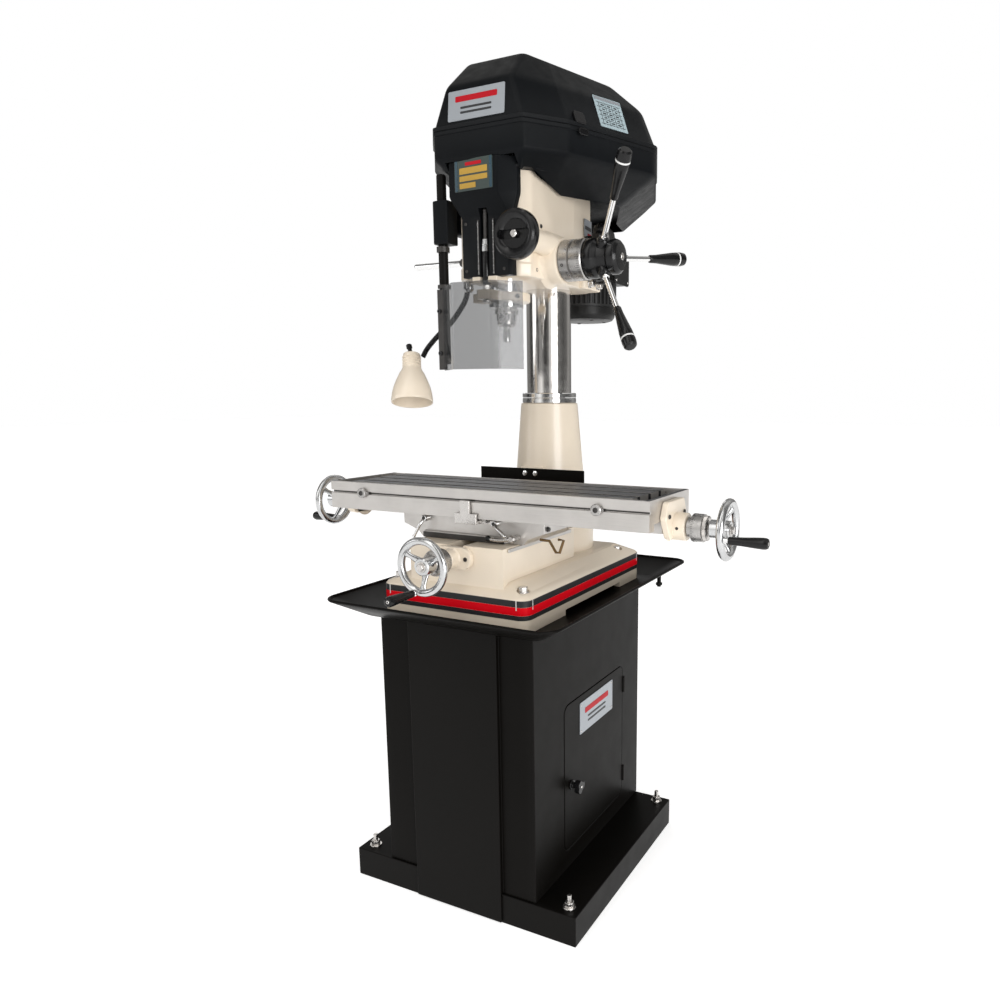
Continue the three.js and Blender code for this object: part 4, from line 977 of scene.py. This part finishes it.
# ---------- feed and controls ----------
def feed():
    ring = [(16.4, 136), (43, 136), (46, 138.5), (46, 160), (41, 162), (41, 166), (46, 168), (46, 193),
            (44, 195), (16.4, 195), (16.4, 136)]
    make("feed_ring", lathe(ring, FEED, RIGHT, 128), "dial", "head", ("feed_dial_ring",))
    ticks = []
    for k in range(60):
        a = 2 * pi * k / 60
        out, along = Vector((0, cos(a), sin(a))), Vector((0, -sin(a), cos(a)))
        long = 11 if k % 5 == 0 else 6
        ticks.append(plate(Vector((191 - long / 2, 6, 1508)) + out * 46, RIGHT, along * -1, long, 0.8, 0.25,
                           0, 0.1))
    make("feed_ring_lines", ticks, "ink", "head")
    screws = [cap_screw((148, 6 + 45 * cos(a), 1508 + 45 * sin(a)), (0, cos(a), sin(a)), 3.5, 2)
              for a in (radians(200 + 120 * k) for k in range(3))]
    make("feed_ring_screws", screws, "iron", "head")
    hub = [(0, 62), (16, 62), (16, 195.6), (38, 195.8), (43, 198), (44, 201), (44, 214), (42, 218),
           (35, 226), (34, 229), (34, 249), (36, 252), (38, 255), (38, 267), (36, 271), (30, 276), (8, 278),
           (0, 278)]
    bosses, at = [], Vector((221, 6, 1508))
    for k in range(3):
        d = lever_way(k)
        bosses.append(lathe([(0, 0), (15, 0), (15, 44), (14, 48), (11, 51.5), (0, 52)], at, d, 48))
    make("feed_hub_body", merge(lathe(hub, FEED, RIGHT, 96), *bosses), "grip", "feed", ("feed_hub",))
    make("feed_hub_screw", cap_screw((278, 6, 1508), RIGHT, 8, 2), "turned", "feed")
    for k in range(3):
        d = lever_way(k)
        foot = at + d * 52.5
        bar = lathe([(0, 0), (8, 0), (8, 5), (6, 7), (6, 98), (0, 98)], foot, d, 40)
        make(f"lever_{k + 1}_rod", bar, "chrome", "feed", (f"feed_lever_{k + 1}",))
        handle = [(0, 94), (8, 94), (9, 96), (9.6, 112), (12.4, 138), (15, 162), (15.7, 176), (15.3, 177),
                  (15.3, 181), (16, 182), (16, 190), (14.5, 199), (11, 202.4), (0, 203)]
        make(f"lever_{k + 1}_grip", lathe(handle, foot, d, 64), "grip", "feed")
        white = bored(15.2, [(15.9, 177.2), (15.9, 180.8)])
        make(f"lever_{k + 1}_band", lathe(white, foot, d, 64), "white", "feed")
    disc = [(0, -172), (30, -172), (34, -177), (42, -180), (47, -179.4), (51, -176), (52.5, -171),
            (52.5, -158), (50, -154), (46, -153), (0, -153)]
    recess = prism(rounded(68, 148, 1531, 1551, 9.8), "y", -190, -165)
    make("fine_disc", lathe(disc, FINE_FEED, BACK, 96), "grip", "fine_feed", ("fine_feed_wheel",),
         cutters=[recess])
    knob = [(0, -180), (6, -180), (8, -178), (8, -168), (6, -165), (0, -164)]
    make("fine_knob", lathe(knob, FINE_FEED, BACK, 40), "turned", "fine_feed")
    shaft = [(0, -154), (14, -154), (14, -148), (8, -147), (8, -70), (0, -70)]
    make("fine_shaft", lathe(shaft, FINE_FEED, BACK, 40), "turned", "fine_feed")
    for name, x, y, z in (("upper", 94.4, 196, 1590), ("lower", 95.2, 190, 1512)):
        stem = lathe([(0, 0), (8, 0), (8, 28), (14, 31), (0, 31)], (x, y, z), RIGHT, 40)
        levels = [(x + 30.5, lobed(y, z, 31, 3, 8)), (x + 33, lobed(y, z, 34, 4, 8)),
                  (x + 36, lobed(y, z, 35, 4, 8)), (x + 51, lobed(y, z, 35, 4, 8)),
                  (x + 54, lobed(y, z, 33, 4, 8)), (x + 56.5, lobed(y, z, 29, 3, 8))]
        make(f"tension_{name}", merge(stem, loft(levels, axis="x")), "grip", f"knob_{name}",
             (f"tension_knob_{name}",))
        make(f"tension_{name}_cap", washer((x + 56.5, y, z), RIGHT, 12, 1.2), "turned", f"knob_{name}")
    crank = [rod("x", -196, -72, 128, 1560, 9, 1, 48), rod("x", -196, -172, 128, 1560, 15, 1.5, 48),
             rod("x", -193, -174, 61, 1533.4, 11, 1.5, 40)]
    arm = tube([Vector((-184, 128, 1560)), Vector((-184, 61, 1533.4))], 7, 24)
    make("crank_arm", merge(*crank, arm), "iron", "crank", ("elevating_crank",))
    bar = [(0, 190), (5, 190), (5, 194), (8, 196), (8, 336), (7, 340), (0, 340)]
    make("crank_handle", lathe(bar, (0, 61.04, 1533.4), LEFT, 48), "chrome", "crank")
    case = prism(rounded(-74, -6, 1572, 1650, 7), "x", -126.4, -100.4)
    make("switch_case", case, "guard", "head", ("switch_box",), 2.5,
         cutters=[rod("x", -130, -112, -40, 1628, 12.4, 0, 40)])
    button = [(0, 0), (8, 0), (8, 16), (16, 17), (17, 18.5), (17, 24), (13, 27.6), (6, 29), (0, 29)]
    make("stop_cap", lathe(button, (-116.4, -40, 1628), LEFT, 64), "red", "stop", ("stop_button",))
    lamp = lathe([(0, 0), (7, 0), (7, 2), (5, 5), (0, 6)], (-126.4, -40, 1592), LEFT, 40)
    make("start_button", lamp, "white", "head")


def lever_way(k):
    """Direction of a feed lever, swept outward from the hub."""
    a, c = radians(5.3 + 120 * k), radians(28.4)
    return Vector((sin(c), cos(c) * cos(a), cos(c) * sin(a)))


# ---------- shield and lamp ----------
def shield_and_lamp():
    x, y = -126, -108
    make("post", rod("z", 1275, 1699, x, y, 11, 2, 64), "stand", "head", ("shield_post",))
    clamp = prism(fillet([(-142, -128), (-98.4, -128), (-98.4, -86), (-142, -86)], [10, 3, 3, 10]), "z",
                  1545, 1640)
    make("post_clamp", clamp, "guard", "head", bevel=3)
    make("post_collars", merge(*[lathe(bored(11.2, [(15, a), (15, b)]), (x, y, 0), UP, 48) for a,
                                 b in ((1529, 1541), (1448, 1456))]), "iron", "head")
    make("clamp_screws", merge(*[cap_screw((-142, -107, z), LEFT, 5, 4) for z in (1566, 1618)]), "iron",
         "head")
    sheet_line = fillet([(-120, -124), (-42, -197), (-2, -196), (58, -196), (112, -148), (110, -146),
                         (57, -193), (-2, -193), (-41, -194), (-118, -122)],
                        [0.5, 14, 40, 18, 0.5, 0.5, 16, 40, 12, 0.5], 6)
    make("shield_sheet", prism(sheet_line, "z", 1260, 1447), "clear", "shield", ("shield_panel",))
    strip = slab(x - 10, x + 12, y - 15.5, y - 11.8, 1262, 1445)
    make("shield_strip", strip, "iron", "shield", bevel=1)
    screws = [cap_screw((x - 4, y - 15.5, z), FRONT, 5, 4) for z in (1300, 1396)]
    make("shield_screws", screws, "ink", "shield")
    neck = smooth_line([(-90, -62, 1452), (-103, -62, 1420), (-140, -62, 1378), (-176, -70, 1346),
                        (-200, -82, 1316), (-210, -90, 1294)], 30)
    make("gooseneck", tube(neck, lambda t: 6.2 + 0.7 * sin(2 * pi * 46 * t), 20), "grip", "head",
         ("lamp_gooseneck",))
    seat = [(0, 1442), (7, 1442), (11, 1446), (12, 1450), (12, 1464.4), (0, 1464.4)]
    make("gooseneck_seat", lathe(seat, (-89, -62, 0), UP, 48), "chrome", "head")
    top, way = Vector((-238, -97, 1302)), Vector((0.17, -0.25, -1))
    outer = [(0, -3), (12, -3), (17, -1.5), (20, 1), (21, 6), (21.4, 20), (22, 34), (25, 42), (30, 50),
             (38, 68), (44, 84), (47.5, 98), (49.4, 112), (50, 120), (49.5, 122)]
    inner = [(47.6, 121.5), (47, 112), (44.8, 97), (41, 83), (35, 67), (27, 50), (22, 42), (19, 34),
             (17, 6), (0, 6)]
    make("lamp_hood", lathe(outer + inner, top, way, 96), "cream", "lamp", ("lamp_shade",))
    ribs = [lathe([(21, h), (22.6, h + 0.5), (22.8, h + 2.5), (21.3, h + 3), (21, h)], top, way, 72)
            for h in (8, 15, 22, 29)]
    make("lamp_ribs", ribs, "cream", "lamp")
    bulb = [(0, 7), (13, 7), (13, 22), (11, 26), (14, 36), (22, 52), (26, 66), (25, 78), (18, 89), (8, 94),
            (0, 95)]
    make("lamp_bulb", lathe(bulb, top, way, 64), "bulb", "lamp")
    switch = [(0, 0), (5, 0), (5, 7), (7, 8.4), (7, 17), (5.5, 19), (0, 19)]
    make("lamp_knob", lathe(switch, top + Vector((-4, 0, 5)), Vector((-0.3, 0.1, 1)), 40), "grip",
         "lamp_knob", ("lamp_switch",))


# ---------- room, lights and camera ----------
# Each light's name, place and size in metres, and power in watts.
LIGHTS = (("key", (3.5, -2.0, 1.35), 1.8, 78), ("fill", (-3.4, -2.6, 2.2), 1.6, 16),
          ("back", (-2.2, 3.0, 3.2), 2.0, 16))
# Brightness of the studio around the part: share of a full turn from -X by way of -Y, and strength.
SOFT_BOXES = ((0.0, 0.4), (0.035, 0.13), (0.055, 0.12), (0.09, 0.2), (0.14, 0.25), (0.17, 1.7), (0.22, 2.8),
              (0.26, 0.5), (0.28, 0.28), (0.325, 0.25), (0.34, 1.7), (0.385, 1.8), (0.4, 0.4), (0.47, 0.35),
              (0.55, 0.2), (0.62, 0.35), (0.66, 0.8), (0.72, 0.6), (0.8, 0.3), (0.9, 0.6), (1.0, 0.5))
LOW_AND_HIGH = (-0.3, 0.9, 0.12, 1.15)  # from and to heights of the view direction, and their shares
AIM = (0, 0, 1.1)
CAMERA_PLACE = (1.03304, -1.67612, 1.208)
CAMERA_DOWN, CAMERA_TURN = 9.83, 26.54  # degrees below level, and round from the front
def room():
    """White floor, a studio world and three soft lights."""
    floor = mesh_of("floor", slab(-30000, 30000, -30000, 30000, -20, -0.5))
    pale = finish_of("pale_floor", (0.8, 0.8, 0.8), 0.9, tint=0.01, bump=0.0)
    shader = pale.node_tree.nodes["Principled BSDF"]
    shader.inputs["Emission Color"].default_value = (1, 1, 1, 1)
    shader.inputs["Emission Strength"].default_value = 0.6
    floor.data.materials.append(pale)
    world = bpy.data.worlds.new("studio")
    world.use_nodes = True
    bpy.context.scene.world = world
    studio_light(world.node_tree)
    for name, at, size, power in LIGHTS:
        light = bpy.data.lights.new(name, "AREA")
        light.energy, light.size = power, size
        lamp = bpy.data.objects.new(name, light)
        lamp.location = at
        lamp.rotation_euler = (Vector(AIM) - Vector(at)).to_track_quat("-Z", "Y").to_euler()
        bpy.context.scene.collection.objects.link(lamp)


def studio_light(tree):
    """White to the camera; to the object, soft boxes with darker gaps between them."""
    nodes, links = tree.nodes, tree.links
    split = nodes.new("ShaderNodeSeparateXYZ")
    links.new(nodes.new("ShaderNodeTexCoord").outputs["Generated"], split.inputs[0])
    turn = nodes.new("ShaderNodeMath")
    turn.operation = "ARCTAN2"
    links.new(split.outputs["Y"], turn.inputs[0])
    links.new(split.outputs["X"], turn.inputs[1])
    share = nodes.new("ShaderNodeMapRange")
    for socket, number in zip(share.inputs[1:5], (-pi, pi, 0, 1)):
        socket.default_value = number
    links.new(turn.outputs[0], share.inputs[0])
    around = ramp(nodes, SOFT_BOXES)
    links.new(share.outputs[0], around.inputs[0])
    height = nodes.new("ShaderNodeMapRange")
    for socket, number in zip(height.inputs[1:5], LOW_AND_HIGH):
        socket.default_value = number
    links.new(split.outputs["Z"], height.inputs[0])
    both = nodes.new("ShaderNodeMath")
    both.operation = "MULTIPLY"
    links.new(around.outputs[0], both.inputs[0])
    links.new(height.outputs[0], both.inputs[1])
    soft = nodes["Background"]
    links.new(both.outputs[0], soft.inputs["Strength"])
    white = nodes.new("ShaderNodeBackground")
    white.inputs["Color"].default_value = (1, 1, 1, 1)
    white.inputs["Strength"].default_value = 1.0
    soft.inputs["Color"].default_value = (1, 0.985, 0.96, 1)
    blend = nodes.new("ShaderNodeMixShader")
    links.new(nodes.new("ShaderNodeLightPath").outputs["Is Camera Ray"], blend.inputs[0])
    links.new(soft.outputs[0], blend.inputs[1])
    links.new(white.outputs[0], blend.inputs[2])
    links.new(blend.outputs[0], nodes["World Output"].inputs["Surface"])


def ramp(nodes, stops):
    """Grey colour ramp with a value at each stop."""
    node = nodes.new("ShaderNodeValToRGB")
    elements = node.color_ramp.elements
    while len(elements) > 1:
        elements.remove(elements[-1])
    for k, (at, value) in enumerate(stops):
        element = elements[0] if k == 0 else elements.new(at)
        element.position = at
        element.color = (value, value, value, 1)
    return node


def camera():
    data = bpy.data.cameras.new("camera")
    data.sensor_width, data.lens = 36, 28.474
    data.shift_x, data.shift_y = -0.088, 0.030
    data.clip_end = 100
    view = bpy.data.objects.new("camera", data)
    view.location = CAMERA_PLACE
    view.rotation_euler = (radians(90 - CAMERA_DOWN), 0, radians(CAMERA_TURN))
    bpy.context.scene.collection.objects.link(view)
    bpy.context.scene.camera = view
    bpy.context.scene.view_settings.view_transform = "Standard"


stand()
base()
cross_feed()
saddle()
table()
head()
drive()
guard()
feed()
shield_and_lamp()
room()
camera()
